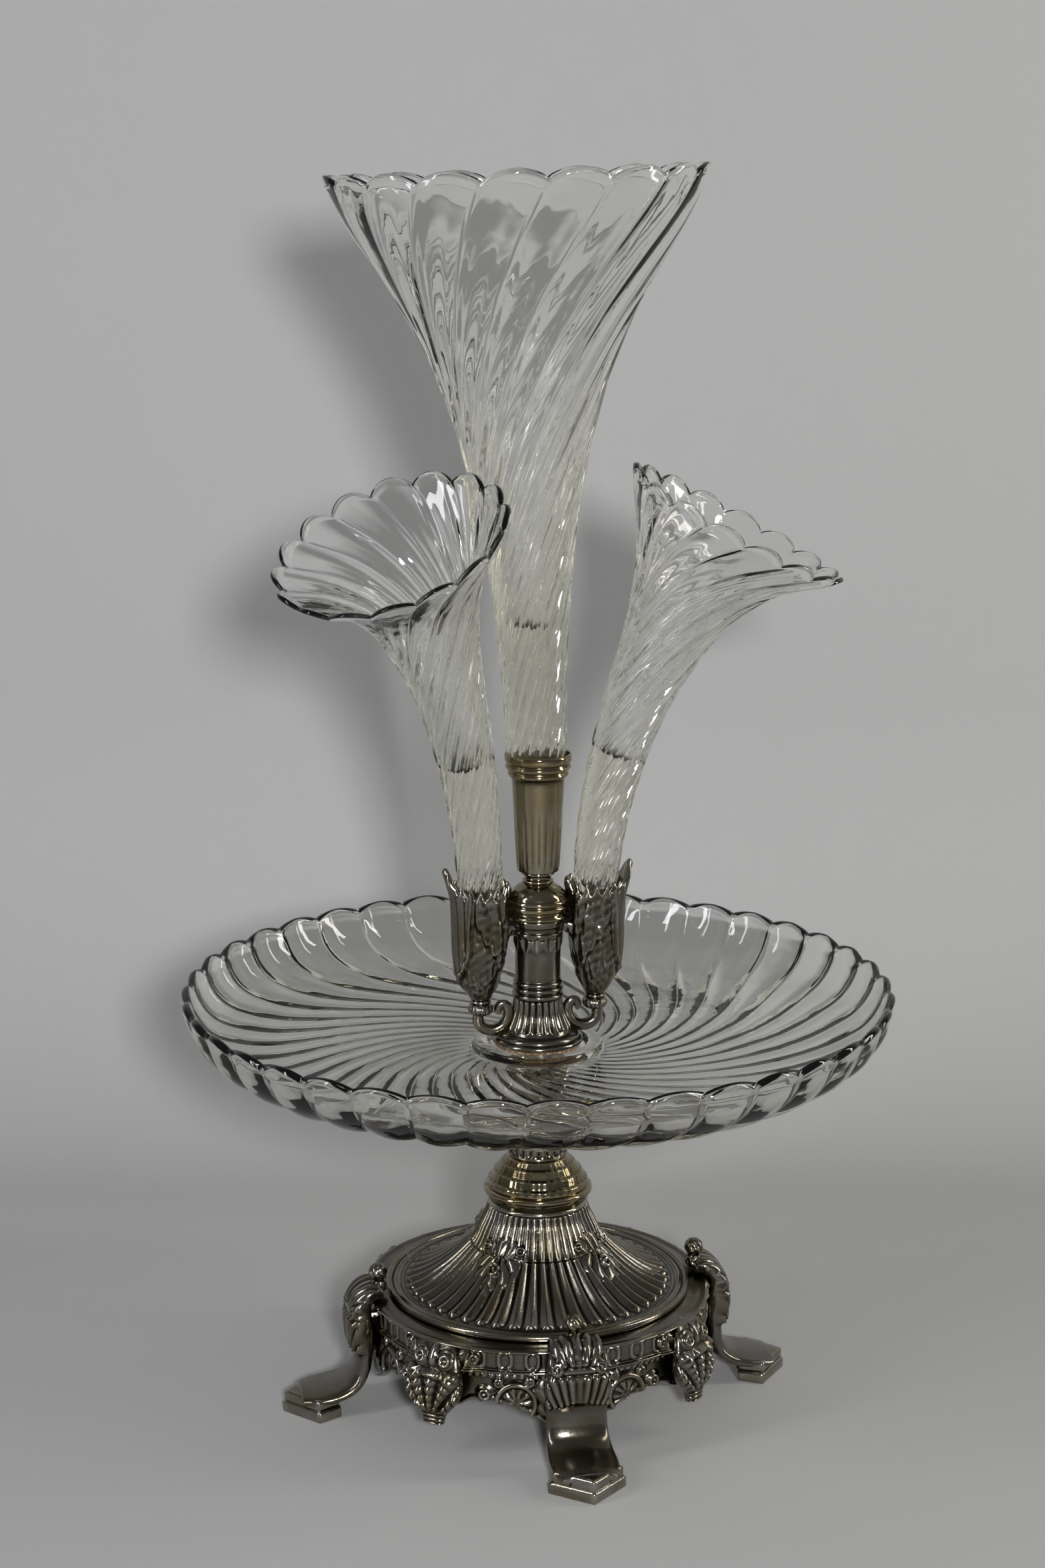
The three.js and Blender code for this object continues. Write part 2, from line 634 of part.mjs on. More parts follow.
function columnCap() {
  const at = (share) => capFloor + CAP_HEIGHT * share;
  return turned([
    [CAP_RADIUS, at(0)],
    [CAP_RADIUS - 0.8, at(0.22)],
    [CAP_RADIUS, at(0.32)],
    [CAP_RADIUS, at(0.52)],
    [CAP_RADIUS - 1.2, at(0.6)],
    [CAP_RADIUS - 3, at(0.8)],
    [CUP_NECK_RADIUS + 0.2, at(1)],
  ], 20, rodHole);
}

function cupNeck() {
  const at = (share) => cupNeckFloor + CUP_NECK_HEIGHT * share;
  return turned([
    [CUP_NECK_RADIUS, at(0)],
    [CUP_NECK_RADIUS + 0.3, at(0.2)],
    [CUP_NECK_RADIUS - 0.8, at(0.45)],
    [CUP_NECK_RADIUS + 0.8, at(1)],
  ], 16, rodHole);
}

// Cup: a tapered tube whose rims step out, with the top nut on its floor

const cupInside = [
  [6.4, CUP_FLOOR],
  [6.9, 10],
  [9.0, CUP_HEIGHT - 11],
  [10.2, CUP_HEIGHT - 6.5],
  [CUP_MOUTH_RADIUS, CUP_HEIGHT - 3],
  [CUP_MOUTH_RADIUS, CUP_HEIGHT],
];

function centreCup() {
  const sides = 20;
  const at = (height) => cupFloor + height;
  return skin([
    ring(HOLE_SIDES, rodHole, at(0)),
    ring(sides, fluted(CUP_BOTTOM_RADIUS, 0.2), at(0)),
    ring(sides, fluted(CUP_BOTTOM_RADIUS + 0.75, 0.2), at(0.3 * CUP_HEIGHT)),
    ring(sides, CUP_RADIUS, at(CUP_HEIGHT - 11)),
    ring(sides, CUP_RIM_RADIUS - 1.3, at(CUP_HEIGHT - 10)),
    ring(sides, CUP_RIM_RADIUS - 1.3, at(CUP_HEIGHT - 6.5)),
    ring(sides, CUP_RIM_RADIUS, at(CUP_HEIGHT - 5.5)),
    ring(sides, CUP_RIM_RADIUS, at(CUP_HEIGHT)),
    ...cupInside.toReversed().map(([r, height]) => ring(sides, r, at(height))),
    ring(HOLE_SIDES, rodHole, at(CUP_FLOOR)),
  ], true);
}

// Fasteners of the stack

function nut(floor) {
  const corner = NUT_WIDTH / Math.sqrt(3);
  const hexagon = Array.from({ length: 6 }, (_, i) =>
    new THREE.Vector2(corner * Math.cos((TURN * i) / 6), corner * Math.sin((TURN * i) / 6)));
  const shape = new THREE.Shape(hexagon);
  shape.holes.push(new THREE.Path().absarc(0, 0, ROD_RADIUS + SEAT, 0, TURN, true));
  const options = { depth: NUT_HEIGHT, bevelEnabled: false, curveSegments: HOLE_SIDES };
  return new THREE.ExtrudeGeometry(shape, options).translate(0, 0, floor);
}

function baseWasher() {
  const top = dishUnderside - SEAT;
  return turned([[WASHER_RADIUS, top - WASHER_THICKNESS], [WASHER_RADIUS, top]], 16, rodHole);
}

// Scroll arms, each drawn on +X

const pegHeight = scrollFloor + 4.4;
const scrollRoot = COLUMN_RADIUS + 4.4;

function scrollArm() {
  const reach = SOCKET_OFFSET - scrollRoot;
  const at = (share, rise, size) => [
    scrollRoot + reach * share,
    scrollFloor + SCROLL_RADIUS + (SCROLL_HEIGHT - SCROLL_RADIUS) * rise,
    2 * SCROLL_RADIUS * size,
    2 * SCROLL_RADIUS * size,
  ];
  const scroll = bar([
    at(1.02, 0.78, 1.1),
    at(1.3, 0.66, 1.05),
    at(1.38, 0.36, 1.0),
    at(1.06, 0.08, 1.0),
    at(0.5, 0, 1.0),
    at(0.14, 0.12, 1.0),
    at(0.0, 0.36, 0.92),
    at(0.14, 0.62, 0.8),
    at(0.44, 0.64, 0.65),
    at(0.52, 0.44, 0.75),
  ], 0.55);
  const top = socketFoot - SEAT;
  const knob = turned([
    [2.2, top - 5.4],
    [4.2, top - 3.6],
    [4.6, top - 2],
    [3.6, top],
  ], 8);
  knob.translate(SOCKET_OFFSET, 0, 0);
  const peg = rodAlongX(PEG_RADIUS, rodHole + 3, scrollRoot + 1, pegHeight, 8);
  const columnSpace = turned([
    ...columnOutline(SEAT),
    [COLUMN_RADIUS + 4 + SEAT, columnFloor + 6.6],
    [COLUMN_RADIUS + 1.7 + SEAT, columnFloor + 12],
    [COLUMN_RADIUS + 1 + SEAT, columnFloor + 18],
  ], 32);
  const screwHole = rodAlongZ(ARM_SCREW_RADIUS + PLAY, top - 5, top + 1, 8);
  screwHole.translate(SOCKET_OFFSET, 0, 0);
  return cut(join(cut(join(scroll, knob), columnSpace), peg), screwHole);
}

// Socket: a calyx of ribbed leaves round a bore, with one tall leaf outside and one tied to the
// column. Drawn on its own axis, with +X away from the column.

function socket() {
  const sides = 4 * SOCKET_LEAVES;
  const inside = 2 * SOCKET_LEAVES;
  const at = (height) => socketFoot + height;
  const tall = (angle) => Math.max(Math.cos(angle), 0) ** 10;
  const tips = (i, angle) => at(SOCKET_HEIGHT - 2 + (i % 4 === 0 ? 2 : 0) + LEAF_TIP * tall(angle));
  const flare = (radius) => (i, angle) => radius + 3.2 * tall(angle);
  const ribbed = (radius) => (i) => radius + (i % 2 ? -0.3 : 0.3);
  const headPocket = ARM_SCREW_HEAD + PLAY;
  const rings = [
    ring(8, ARM_SCREW_RADIUS + PLAY, at(0)),
    ring(inside, 4.4, at(0)),
    ring(sides, ribbed(0.56 * SOCKET_RADIUS), at(3.2)),
    ring(sides, ribbed(0.76 * SOCKET_RADIUS), at(12)),
    ring(sides, ribbed(0.94 * SOCKET_RADIUS), at(SOCKET_FLOOR)),
    ring(sides, ribbed(SOCKET_RADIUS - 0.2), at(0.65 * SOCKET_HEIGHT)),
    ring(sides, flare(SOCKET_RADIUS + 0.5), tips),
    ring(sides, (i, a) => SOCKET_MOUTH + 3.0 * tall(a), (i, a) => tips(i, a) - 0.4),
    ring(inside, SOCKET_MOUTH, at(SOCKET_HEIGHT - 5)),
    ring(inside, SOCKET_BORE, at(SOCKET_HEIGHT - 7)),
    ring(inside, SOCKET_BORE, at(SOCKET_FLOOR)),
    ring(8, headPocket, at(SOCKET_FLOOR)),
    ring(8, headPocket, at(5.5)),
    ring(8, ARM_SCREW_RADIUS + PLAY, at(5.5)),
  ];
  const tieHeight = capFloor - 4 - socketFoot;
  const tie = bar([
    [-SOCKET_OFFSET + COLUMN_RADIUS + 1, at(tieHeight + 1.5), 4.5, 3],
    [-SOCKET_RADIUS - 0.2, at(tieHeight), 6, 4],
    [-SOCKET_BORE - 1.4, at(tieHeight - 5), 6, 2],
  ]);
  const columnSpace = turned([
    [COLUMN_RADIUS + 1 + SEAT, columnFloor],
    [COLUMN_RADIUS + 1 + SEAT, capFloor - 2 * SEAT],
    [CAP_RADIUS + SEAT, capFloor - 2 * SEAT],
    [CAP_RADIUS + SEAT, cupNeckFloor],
  ], 32);
  return cut(join(skin(rings, true), tie), columnSpace.translate(-SOCKET_OFFSET, 0, 0));
}

function armScrew() {
  const seat = socketFoot + 5.5 + SEAT;
  return join(
    rodAlongZ(ARM_SCREW_RADIUS, socketFoot - SEAT - 4.6, seat + 1, 8),
    rodAlongZ(ARM_SCREW_HEAD, seat, seat + 2.4, 8),
  );
}

// Trumpet vases. Points of an outline are [length along the axis, radius].

// The place and directions of a vase's axis at one length: straight, then an arc, then straight
function axisAt(length, bend) {
  const swept = THREE.MathUtils.clamp((length - bend.start) / bend.radius, 0, bend.angle);
  const straight = length - bend.start - bend.radius * swept;
  const along = new THREE.Vector3(Math.sin(swept), 0, Math.cos(swept));
  const across = new THREE.Vector3(Math.cos(swept), 0, -Math.sin(swept));
  const arcEnd = new THREE.Vector3(
    bend.radius * (1 - Math.cos(swept)),
    0,
    bend.start + bend.radius * Math.sin(swept),
  );
  return { centre: arcEnd.addScaledVector(along, straight), along, across };
}

// Half-way up, the flare sags a little to the inner side of the bend.
function trumpetVase({ spigot, outline, hollow, lobes, bend }) {
  const mouthSides = 3 * lobes;
  const throatSides = 2 * lobes;
  const [lipLength, lipRadius] = outline[outline.length - 1];
  const smooth = lobes;
  const share = (length) => THREE.MathUtils.clamp(length / lipLength, 0, 1);
  let twist = 0;
  let lastLength = 0;

  function vaseRing(count, length, radius, depth, scallop) {
    const { centre, along, across } = axisAt(length, bend);
    centre.addScaledVector(across, -bend.sag * Math.sin(Math.PI * share(length) ** 3));
    const side = new THREE.Vector3(0, 1, 0);
    return Array.from({ length: count }, (_, i) => {
      const angle = (TURN * i) / count;
      const wave = Math.cos(lobes * angle);
      const r = radius + depth * (wave - 1) / 2;
      return centre.clone()
        .addScaledVector(across, r * Math.cos(angle + twist))
        .addScaledVector(side, r * Math.sin(angle + twist))
        .addScaledVector(along, scallop * (wave - 1) / 2);
    });
  }

  const rings = [vaseRing(1, spigot[0][0], 0, 0, 0)];
  for (const [length, radius] of spigot) {
    rings.push(vaseRing(smooth, length, radius, 0, 0));
  }
  for (const [length, radius] of outline) {
    const slant = rad(17 + 10 * share(length));
    twist += (Math.tan(slant) * (length - lastLength)) / radius;
    lastLength = length;
    const mouth = share(length) ** 6;
    const sides = share(length) > 0.85 ? mouthSides : throatSides;
    rings.push(vaseRing(sides, length, radius, 0.8 + 2.6 * mouth, 4 * mouth));
  }
  rings.push(vaseRing(mouthSides, lipLength, lipRadius - GLASS_WALL, 3, 4));
  for (const [length, radius] of hollow) {
    rings.push(vaseRing(smooth, length, radius, 0, 0));
  }
  const [floorLength] = hollow[hollow.length - 1];
  rings.push(vaseRing(1, floorLength - 1.5, 0, 0, 0));
  return skin(rings);
}

// The two flares: how much of the widening is done at a share of the way to the mouth. The tall one
// swells and then straightens to its rim, and the small one is slim until it opens wide.
const swelling = (share, late) => Math.sin(Math.PI * share ** late);
const tallFlare = (share) =>
  0.03 * share + 0.62 * share ** 2 + 0.35 * share ** 5 + 0.1 * swelling(share, 6);
const smallFlare = (share) =>
  0.15 * share + 0.3 * share ** 3 + 0.55 * share ** 7 + 0.06 * swelling(share, 12);

const flaredOutline = ({ flare, throat, mouth, length }, shares) =>
  shares.map((share) => [length * share, THREE.MathUtils.lerp(throat, mouth, flare(share))]);

// The hollow down from the mouth. Its wall thickens towards its small bottom.
function hollowOf(vase, shares) {
  const start = vase.solid / vase.length;
  const [[, bottom]] = flaredOutline(vase, [start]);
  const inside = flaredOutline(vase, shares).map(([length, radius], i) => {
    const depth = Math.max(1 - (shares[i] - start) / 0.45, 0);
    return [length, radius - THREE.MathUtils.lerp(GLASS_WALL + 0.6, bottom - 6, depth)];
  });
  return [...inside, [vase.solid, 4.5]];
}

const tallThroat = CUP_MOUTH_RADIUS - 0.3;
const smallThroat = SOCKET_MOUTH - 0.9;

const tallSpigot = [
  [-TALL_SPIGOT, 4.6],
  [-12, 6.6],
  [-2.6, tallThroat - 1.7],
];

function tallVase() {
  const vase = {
    flare: tallFlare,
    throat: tallThroat,
    mouth: TALL_MOUTH,
    length: TALL_LENGTH,
    solid: TALL_SOLID,
  };
  return trumpetVase({
    spigot: tallSpigot,
    outline: flaredOutline(vase, [0.014, 0.16, 0.34, 0.5, 0.61, 0.7, 0.78, 0.85, 0.93, 1]),
    hollow: hollowOf(vase, [0.92, 0.83, 0.75, 0.66, 0.53, 0.36]),
    lobes: TALL_LOBES,
    bend: { start: 0, radius: 1, angle: 0, sag: 0 },
  });
}

const smallSpigot = [
  [-SMALL_SPIGOT, SMALL_SPIGOT_RADIUS],
  [-7, SMALL_SPIGOT_RADIUS],
  [-2, smallThroat - 0.6],
];

function smallVase() {
  const vase = {
    flare: smallFlare,
    throat: smallThroat,
    mouth: SMALL_MOUTH,
    length: SMALL_LENGTH,
    solid: SMALL_SOLID,
  };
  return trumpetVase({
    spigot: smallSpigot,
    outline: flaredOutline(vase, [0.014, 0.2, 0.4, 0.57, 0.72, 0.83, 0.92, 1]),
    hollow: hollowOf(vase, [0.92, 0.82, 0.69, 0.52]),
    lobes: SMALL_LOBES,
    bend: SMALL_BEND,
  });
}

// The tall vase stands in its cup on an axis that leans. Both are turned about this axis.
const leanAxis = new THREE.Vector3(
  -Math.sin(rad(TALL_LEAN_AZIMUTH)), Math.cos(rad(TALL_LEAN_AZIMUTH)), 0);

function leaned(geometry) {
  const pivot = cupRim - TALL_PIVOT_DEPTH;
  geometry.translate(0, 0, TALL_PIVOT_DEPTH);
  geometry.applyQuaternion(new THREE.Quaternion().setFromAxisAngle(leanAxis, rad(TALL_LEAN)));
  return geometry.translate(0, 0, pivot);
}

// Cork sleeve of the tall vase: it fills the cone of the cup, and its bore leans with the vase
function centreSleeve() {
  const [, [lowRadius, low], [highRadius, high]] = cupInside;
  const body = turned([
    [lowRadius - SEAT, cupFloor + low + 1],
    [highRadius - SEAT, cupFloor + high - 1],
  ], 24);
  const [[bottom, bottomRadius], [top, topRadius]] = tallSpigot;
  const widening = (topRadius - bottomRadius) / (top - bottom);
  const boreAt = (length) => [bottomRadius + SEAT + widening * (length - bottom), length];
  return cut(body, leaned(turned([boreAt(bottom - 6), boreAt(top + 6)], TALL_LOBES)));
}

function sideSleeve() {
  const bottom = socketFoot + SOCKET_FLOOR + SEAT;
  return turned([
    [SLEEVE_RADIUS, bottom],
    [SLEEVE_RADIUS, bottom + SLEEVE_LENGTH],
  ], 16, SMALL_SPIGOT_RADIUS + SEAT);
}

// Assembly

piece('base_frame', baseFrame(), castMetal);
const footGeometry = foot();
const footScrewGeometry = footScrew();
['right', 'back', 'left', 'front'].forEach((side, i) => {
  piece(`foot_${side}`, footGeometry, castMetal).rotation.z = (TURN * i) / SIDES;
  piece(`foot_screw_${side}`, footScrewGeometry, fastenerMetal).rotation.z = (TURN * i) / SIDES;
});
piece('base_dish', baseDish(), castMetal);
piece('stem_cone', stemCone(), castMetal);
piece('stem_collar', stemCollar(), brightMetal);
piece('stem_dome', stemDome(), brightMetal);
piece('stem_neck', stemNeck(), castMetal);
piece('lower_plate_pad', pad(NECK_RADIUS + 1.6, lowerPadFloor + SEAT), cork);
piece('glass_plate', glassPlate(), clearGlass);
piece('upper_plate_pad', pad(COLUMN_FOOT_RADIUS - 1, upperPadFloor), cork);
piece('column', column(), castMetal);
piece('column_cap', columnCap(), brightMetal);
piece('cup_neck', cupNeck(), brightMetal);
piece('centre_cup', centreCup(), brightMetal);
piece('tie_rod', rodAlongZ(ROD_RADIUS, rodFloor, rodTop), fastenerMetal);
piece('base_nut', nut(rodFloor + ROD_END), fastenerMetal);
piece('base_washer', baseWasher(), fastenerMetal);
piece('cup_nut', nut(cupNutFloor), fastenerMetal);

const armGeometry = scrollArm();
const socketGeometry = socket();
const armScrewGeometry = armScrew();
const sideSleeveGeometry = sideSleeve();
const smallVaseGeometry = smallVase();
for (const [side, azimuth, vaseAzimuth] of [
  ['right', 0, RIGHT_VASE_AZIMUTH],
  ['left', 180, LEFT_VASE_AZIMUTH],
]) {
  const offset = SOCKET_OFFSET * Math.cos(rad(azimuth));
  piece(`arm_${side}`, armGeometry, castMetal).rotation.z = rad(azimuth);
  const calyx = piece(`socket_${side}`, socketGeometry, castMetal);
  calyx.rotation.z = rad(azimuth);
  calyx.position.x = offset;
  piece(`arm_screw_${side}`, armScrewGeometry, fastenerMetal).position.x = offset;
  piece(`sleeve_${side}`, sideSleeveGeometry, cork).position.x = offset;
  const vase = piece(`vase_${side}`, smallVaseGeometry, clearGlass);
  vase.position.set(offset, 0, socketRim);
  vase.rotation.z = rad(vaseAzimuth);
}
piece('sleeve_centre', centreSleeve(), cork);
piece('vase_centre', leaned(tallVase()), clearGlass);

export default centrepiece;
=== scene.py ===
# %% [markdown]
# # A table centrepiece in pewter and pressed glass
# The CAD model gives every piece its place and its size. This script keeps those, and builds the
# surfaces that the eye sees: the lobed glass, the cast leaves and the worn metal.

import json
import math

import bpy
import numpy as np
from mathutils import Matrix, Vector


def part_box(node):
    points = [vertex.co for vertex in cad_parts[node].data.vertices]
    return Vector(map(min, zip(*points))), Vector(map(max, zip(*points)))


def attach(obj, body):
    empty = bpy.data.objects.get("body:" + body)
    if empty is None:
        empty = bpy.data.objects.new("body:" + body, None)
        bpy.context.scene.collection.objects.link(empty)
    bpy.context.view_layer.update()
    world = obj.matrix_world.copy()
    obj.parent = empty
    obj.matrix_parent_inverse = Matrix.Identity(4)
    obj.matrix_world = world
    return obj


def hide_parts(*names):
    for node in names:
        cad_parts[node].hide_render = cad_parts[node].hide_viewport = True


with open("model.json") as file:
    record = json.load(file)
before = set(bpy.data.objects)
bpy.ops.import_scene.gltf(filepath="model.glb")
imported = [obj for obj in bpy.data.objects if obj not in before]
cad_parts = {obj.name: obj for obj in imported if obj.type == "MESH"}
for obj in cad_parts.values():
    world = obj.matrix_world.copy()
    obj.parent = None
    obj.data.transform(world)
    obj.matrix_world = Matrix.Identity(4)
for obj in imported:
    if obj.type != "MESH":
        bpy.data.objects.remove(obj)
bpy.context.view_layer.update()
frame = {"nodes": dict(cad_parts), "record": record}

# %% [markdown]
# ## The camera
# The camera stands where the photographer stood: about 1.1 m from the stem, a little to the left of
# the front foot, and looking down by 13 degrees. A long lens keeps the upright lines upright.

# %% Place the camera
MM = 0.001
TURN = 2 * math.pi
CAMERA_DISTANCE = 1.100
CAMERA_HEIGHT = 0.511
CAMERA_AZIMUTH = math.radians(-12)
CAMERA_PITCH = math.radians(13.2)
CAMERA_PAN = math.radians(0.315)
LENS, FILM = 66.9, 36


def in_scene(name, data):
    """A new object in the scene, made from its data."""
    thing = bpy.data.objects.new(name, data)
    bpy.context.scene.collection.objects.link(thing)
    return thing


camera = in_scene("camera", bpy.data.cameras.new("camera"))
camera.data.lens = LENS
camera.data.sensor_width = FILM
camera.location = (
    CAMERA_DISTANCE * math.sin(CAMERA_AZIMUTH),
    -CAMERA_DISTANCE * math.cos(CAMERA_AZIMUTH),
    CAMERA_HEIGHT,
)
camera.rotation_euler = (math.pi / 2 - CAMERA_PITCH, 0, CAMERA_AZIMUTH + CAMERA_PAN)
bpy.context.scene.camera = camera
print("camera at", [round(v, 3) for v in camera.location])

# %% [markdown]
# ## Skins
# Cast and pressed surfaces are easiest to describe as rings of points that climb up the outside of
# a piece and down its inside. One function joins such rings into a closed mesh of quads. All
# lengths below are in millimetres, and the mesh gets them in metres.

# %% Join rings into a mesh
def skin(name, rings, loop=False):
    """A mesh through rings of points. A loop joins the last ring to the first one."""
    rings = np.asarray(rings, dtype=float)
    rows, sides = rings.shape[:2]
    bands = rows if loop else rows - 1
    row = np.arange(bands)[:, None] * sides
    above = ((np.arange(bands) + 1) % rows)[:, None] * sides
    here = np.arange(sides)[None, :]
    after = (here + 1) % sides
    corners = [row + here, row + after, above + after, above + here]
    faces = np.stack(corners, axis=-1).reshape(-1, 4).tolist()
    if not loop:
        faces.append(list(range(sides))[::-1])
        faces.append([bands * sides + i for i in range(sides)])
    mesh = bpy.data.meshes.new(name)
    mesh.from_pydata((rings.reshape(-1, 3) * MM).tolist(), [], faces)
    mesh.shade_smooth()
    return in_scene(name, mesh)


def around(sides):
    """Evenly spaced angles round a piece, as one row."""
    return np.linspace(0, TURN, sides, endpoint=False)[None, :]


def polar(radius, angle, height):
    """Points from cylinder coordinates. The three arrays are stretched to one shape."""
    radius, angle, height = np.broadcast_arrays(radius, angle, height)
    return np.stack([radius * np.cos(angle), radius * np.sin(angle), height], axis=-1)


def turned_about(points, heading):
    """The same points, turned about the Z axis."""
    cos, sin = math.cos(heading), math.sin(heading)
    return np.asarray(points) @ np.array([[cos, -sin, 0], [sin, cos, 0], [0, 0, 1]]).T


# %% [markdown]
# ## Outlines
# An outline is a list of [radius, height]. A flare or a leg is a smooth curve through a few
# measured points. A moulding has corners, which casting and polishing leave slightly round.

# %% Draw outlines
def at_level(level, points):
    """Points of an outline, whose heights are counted from a level."""
    return [[radius, level + height, *size] for radius, height, *size in points]


def curve_through(points, steps=8):
    """A smooth curve through points, with that many spans from each point to the next."""
    p = np.array(points, dtype=float)
    p = np.vstack([2 * p[0] - p[1], p, 2 * p[-1] - p[-2]])
    t = np.linspace(0, 1, steps, endpoint=False)[:, None]
    parts = []
    for a, b, c, d in zip(p, p[1:], p[2:], p[3:]):
        bend = 2 * a - 5 * b + 4 * c - d
        parts.append(0.5 * (2 * b + (c - a) * t + bend * t**2 + (3 * b - a - 3 * c + d) * t**3))
    return np.vstack(parts + [p[-2:-1]])


# %% Round corners and lips
def moulded(corners, fillet, steps=3):
    """An outline through corners, each rounded by a small fillet."""
    p = np.array(corners, dtype=float)
    t = np.linspace(0, 1, steps + 1)[:, None]
    parts = [p[:1]]
    for a, b, c in zip(p, p[1:], p[2:]):
        to_a, to_c = a - b, c - b
        start = b + to_a * min(fillet / np.linalg.norm(to_a), 0.45)
        end = b + to_c * min(fillet / np.linalg.norm(to_c), 0.45)
        parts.append((1 - t) ** 2 * start + 2 * t * (1 - t) * b + t**2 * end)
    return np.vstack(parts + [p[-1:]])


def spaced(outline, step):
    """The same outline with extra points, so that none are further apart than a step."""
    parts = []
    for a, b in zip(outline, outline[1:]):
        count = max(int(np.ceil(np.linalg.norm(b - a) / step)), 1)
        parts.append(a + (b - a) * np.linspace(0, 1, count, endpoint=False)[:, None])
    return np.vstack(parts + [outline[-1:]])


def round_lip(outer, inner, rise, steps=7):
    """The points of a rounded rim over a wall, from its outer edge to its inner one."""
    outer, inner = np.array(outer, dtype=float), np.array(inner, dtype=float)
    up = np.array([outer[1] - inner[1], inner[0] - outer[0]])
    up = up / np.linalg.norm(up) * (1 if up[1] > 0 else -1)
    t = np.linspace(0, math.pi, steps + 2)[1:-1, None]
    middle = (outer + inner) / 2
    return middle + (outer - inner) / 2 * np.cos(t) + up * rise * np.sin(t)


def directions(path):
    """The direction of a path at each of its points, as unit vectors."""
    along = np.gradient(path, axis=0)
    return along / np.maximum(np.linalg.norm(along, axis=1, keepdims=True), 1e-9)


# %% [markdown]
# ## Turned and cast pieces
# A turned piece is an outline swept round the stem. A cast one is the same with relief: a function
# that says how far each point stands out from the outline. The masks below fade relief in and out.

# %% Turn an outline, with relief
BORE = 3.4


def with_relief(outline, angle, depth):
    """Rings round the stem, whose points stand out from the outline by a depth."""
    along = directions(outline)
    return polar(outline[:, :1] + along[:, 1:] * depth, angle, outline[:, 1:] - along[:, :1] * depth)


def turned(name, outline, sides, relief=None):
    """A piece turned round the stem and bored through. Relief depends on angle, radius and height."""
    outline = np.vstack([[BORE, outline[0][1]], outline, [BORE, outline[-1][1]]])
    angle = around(sides)
    depth = relief(angle, outline[:, :1], outline[:, 1:]) if relief else 0 * angle
    return skin(name, with_relief(outline, angle, depth), loop=True)


# %% Masks and small reliefs
def fade(low, high, value):
    """0 below low and 1 above high, with a smooth step between. Low may be the larger."""
    t = np.clip((value - low) / (high - low), 0, 1)
    return t * t * (3 - 2 * t)


def within(low, high, soft, value):
    """1 between low and high, fading to 0 outside over a soft edge."""
    return fade(low - soft, low, value) * fade(high + soft, high, value)


def ridges(count, angle):
    """Rounded ridges with sharp grooves between them: 1 on a ridge and 0 in a groove."""
    return np.abs(np.cos(count * angle / 2))


def dome(distance, radius):
    """A round boss: 1 at its middle and 0 outside its radius."""
    return np.sqrt(np.clip(1 - (distance / radius) ** 2, 0, 1))


def highest(*reliefs):
    """The highest of several reliefs at each point."""
    return np.maximum.reduce(np.broadcast_arrays(*reliefs))


def laid_over(base, *raised):
    """Raised relief laid over a base relief, which keeps its hollows elsewhere."""
    top = highest(*raised)
    return np.where(top > 0, np.maximum(base, top), base)


def nearest(angle, count, first=0.0):
    """The angle measured from the nearest of several evenly spaced directions."""
    step = TURN / count
    return (angle - first + step / 2) % step - step / 2


# %% [markdown]
# ## Taking a CAD node's place
# Each detailed piece stands for one CAD node. It moves with that node's body, hides the node and
# takes its finish, so that a vase with its sleeve can still be turned and lifted out.

# %% Hand a piece over to the frame
def stands_for(piece, node, slot):
    """The piece takes a CAD node's place, moves with its body, and takes its finish from a slot."""
    body = next(b for b, nodes in frame["record"]["behaviour"]["bodies"].items() if node in nodes)
    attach(piece, body)
    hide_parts(node)
    piece.data.materials.append(finishes[slot])
    print(piece.name, len(piece.data.polygons), "faces for", node)
    return piece


def height_of(node):
    """The lowest and the highest point of a CAD node, in millimetres."""
    low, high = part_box(node)
    return low[2] / MM, high[2] / MM


# %% [markdown]
# ## Finishes
# The stand is silver-plated pewter. Handling keeps the high places bright, while the hollows are
# darkened to a brown-black: partly tarnish, and partly painted shade that stands in for the shadow in
# the recesses. Both effects are wanted on every metal here, so they are one node group with its
# own inputs: the group works out where the surface bulges or sinks from the mesh's pointiness.

# %% Helpers for nodes
def new_group(name, inputs, outputs):
    """An empty node group with named sockets."""
    group = bpy.data.node_groups.new(name, "ShaderNodeTree")
    for title, kind, value in inputs:
        socket = group.interface.new_socket(title, in_out="INPUT", socket_type=kind)
        socket.default_value = value
    for title, kind in outputs:
        group.interface.new_socket(title, in_out="OUTPUT", socket_type=kind)
    return group, group.nodes.new("NodeGroupInput"), group.nodes.new("NodeGroupOutput")


def add_node(tree, kind, settings=None, **links):
    """A new node. Settings are its options, and links are values or sockets for its inputs. An input
    goes by its title with _ for each space, or by its number after a _."""
    node = tree.nodes.new(kind)
    for key, value in (settings or {}).items():
        setattr(node, key, value)
    for key, value in links.items():
        socket = node.inputs[int(key[1:])] if key[1:].isdigit() else node.inputs[key.replace("_", " ")]
        if isinstance(value, bpy.types.NodeSocket):
            tree.links.new(value, socket)
        else:
            socket.default_value = value
    return node


def maths(tree, operation, *values):
    """The result of a sum, product or comparison."""
    links = {f"_{number}": value for number, value in enumerate(values)}
    return add_node(tree, "ShaderNodeMath", {"operation": operation}, **links).outputs[0]


def spread(tree, value, low, high):
    """A value spread out so that low becomes 0 and high becomes 1."""
    return add_node(tree, "ShaderNodeMapRange", Value=value, From_Min=low, From_Max=high).outputs[0]


def blend(tree, share, first, second):
    """A colour that passes from the first to the second as the share rises."""
    return add_node(tree, "ShaderNodeMix", {"data_type": "RGBA"}, _0=share, _6=first, _7=second).outputs[2]


# %% Build the two groups
FLOAT, COLOUR = "NodeSocketFloat", "NodeSocketColor"
ROUGHEST_CLOUD, EDGE_POLISH, LEAST_ROUGHNESS = 0.22, 0.16, 0.1


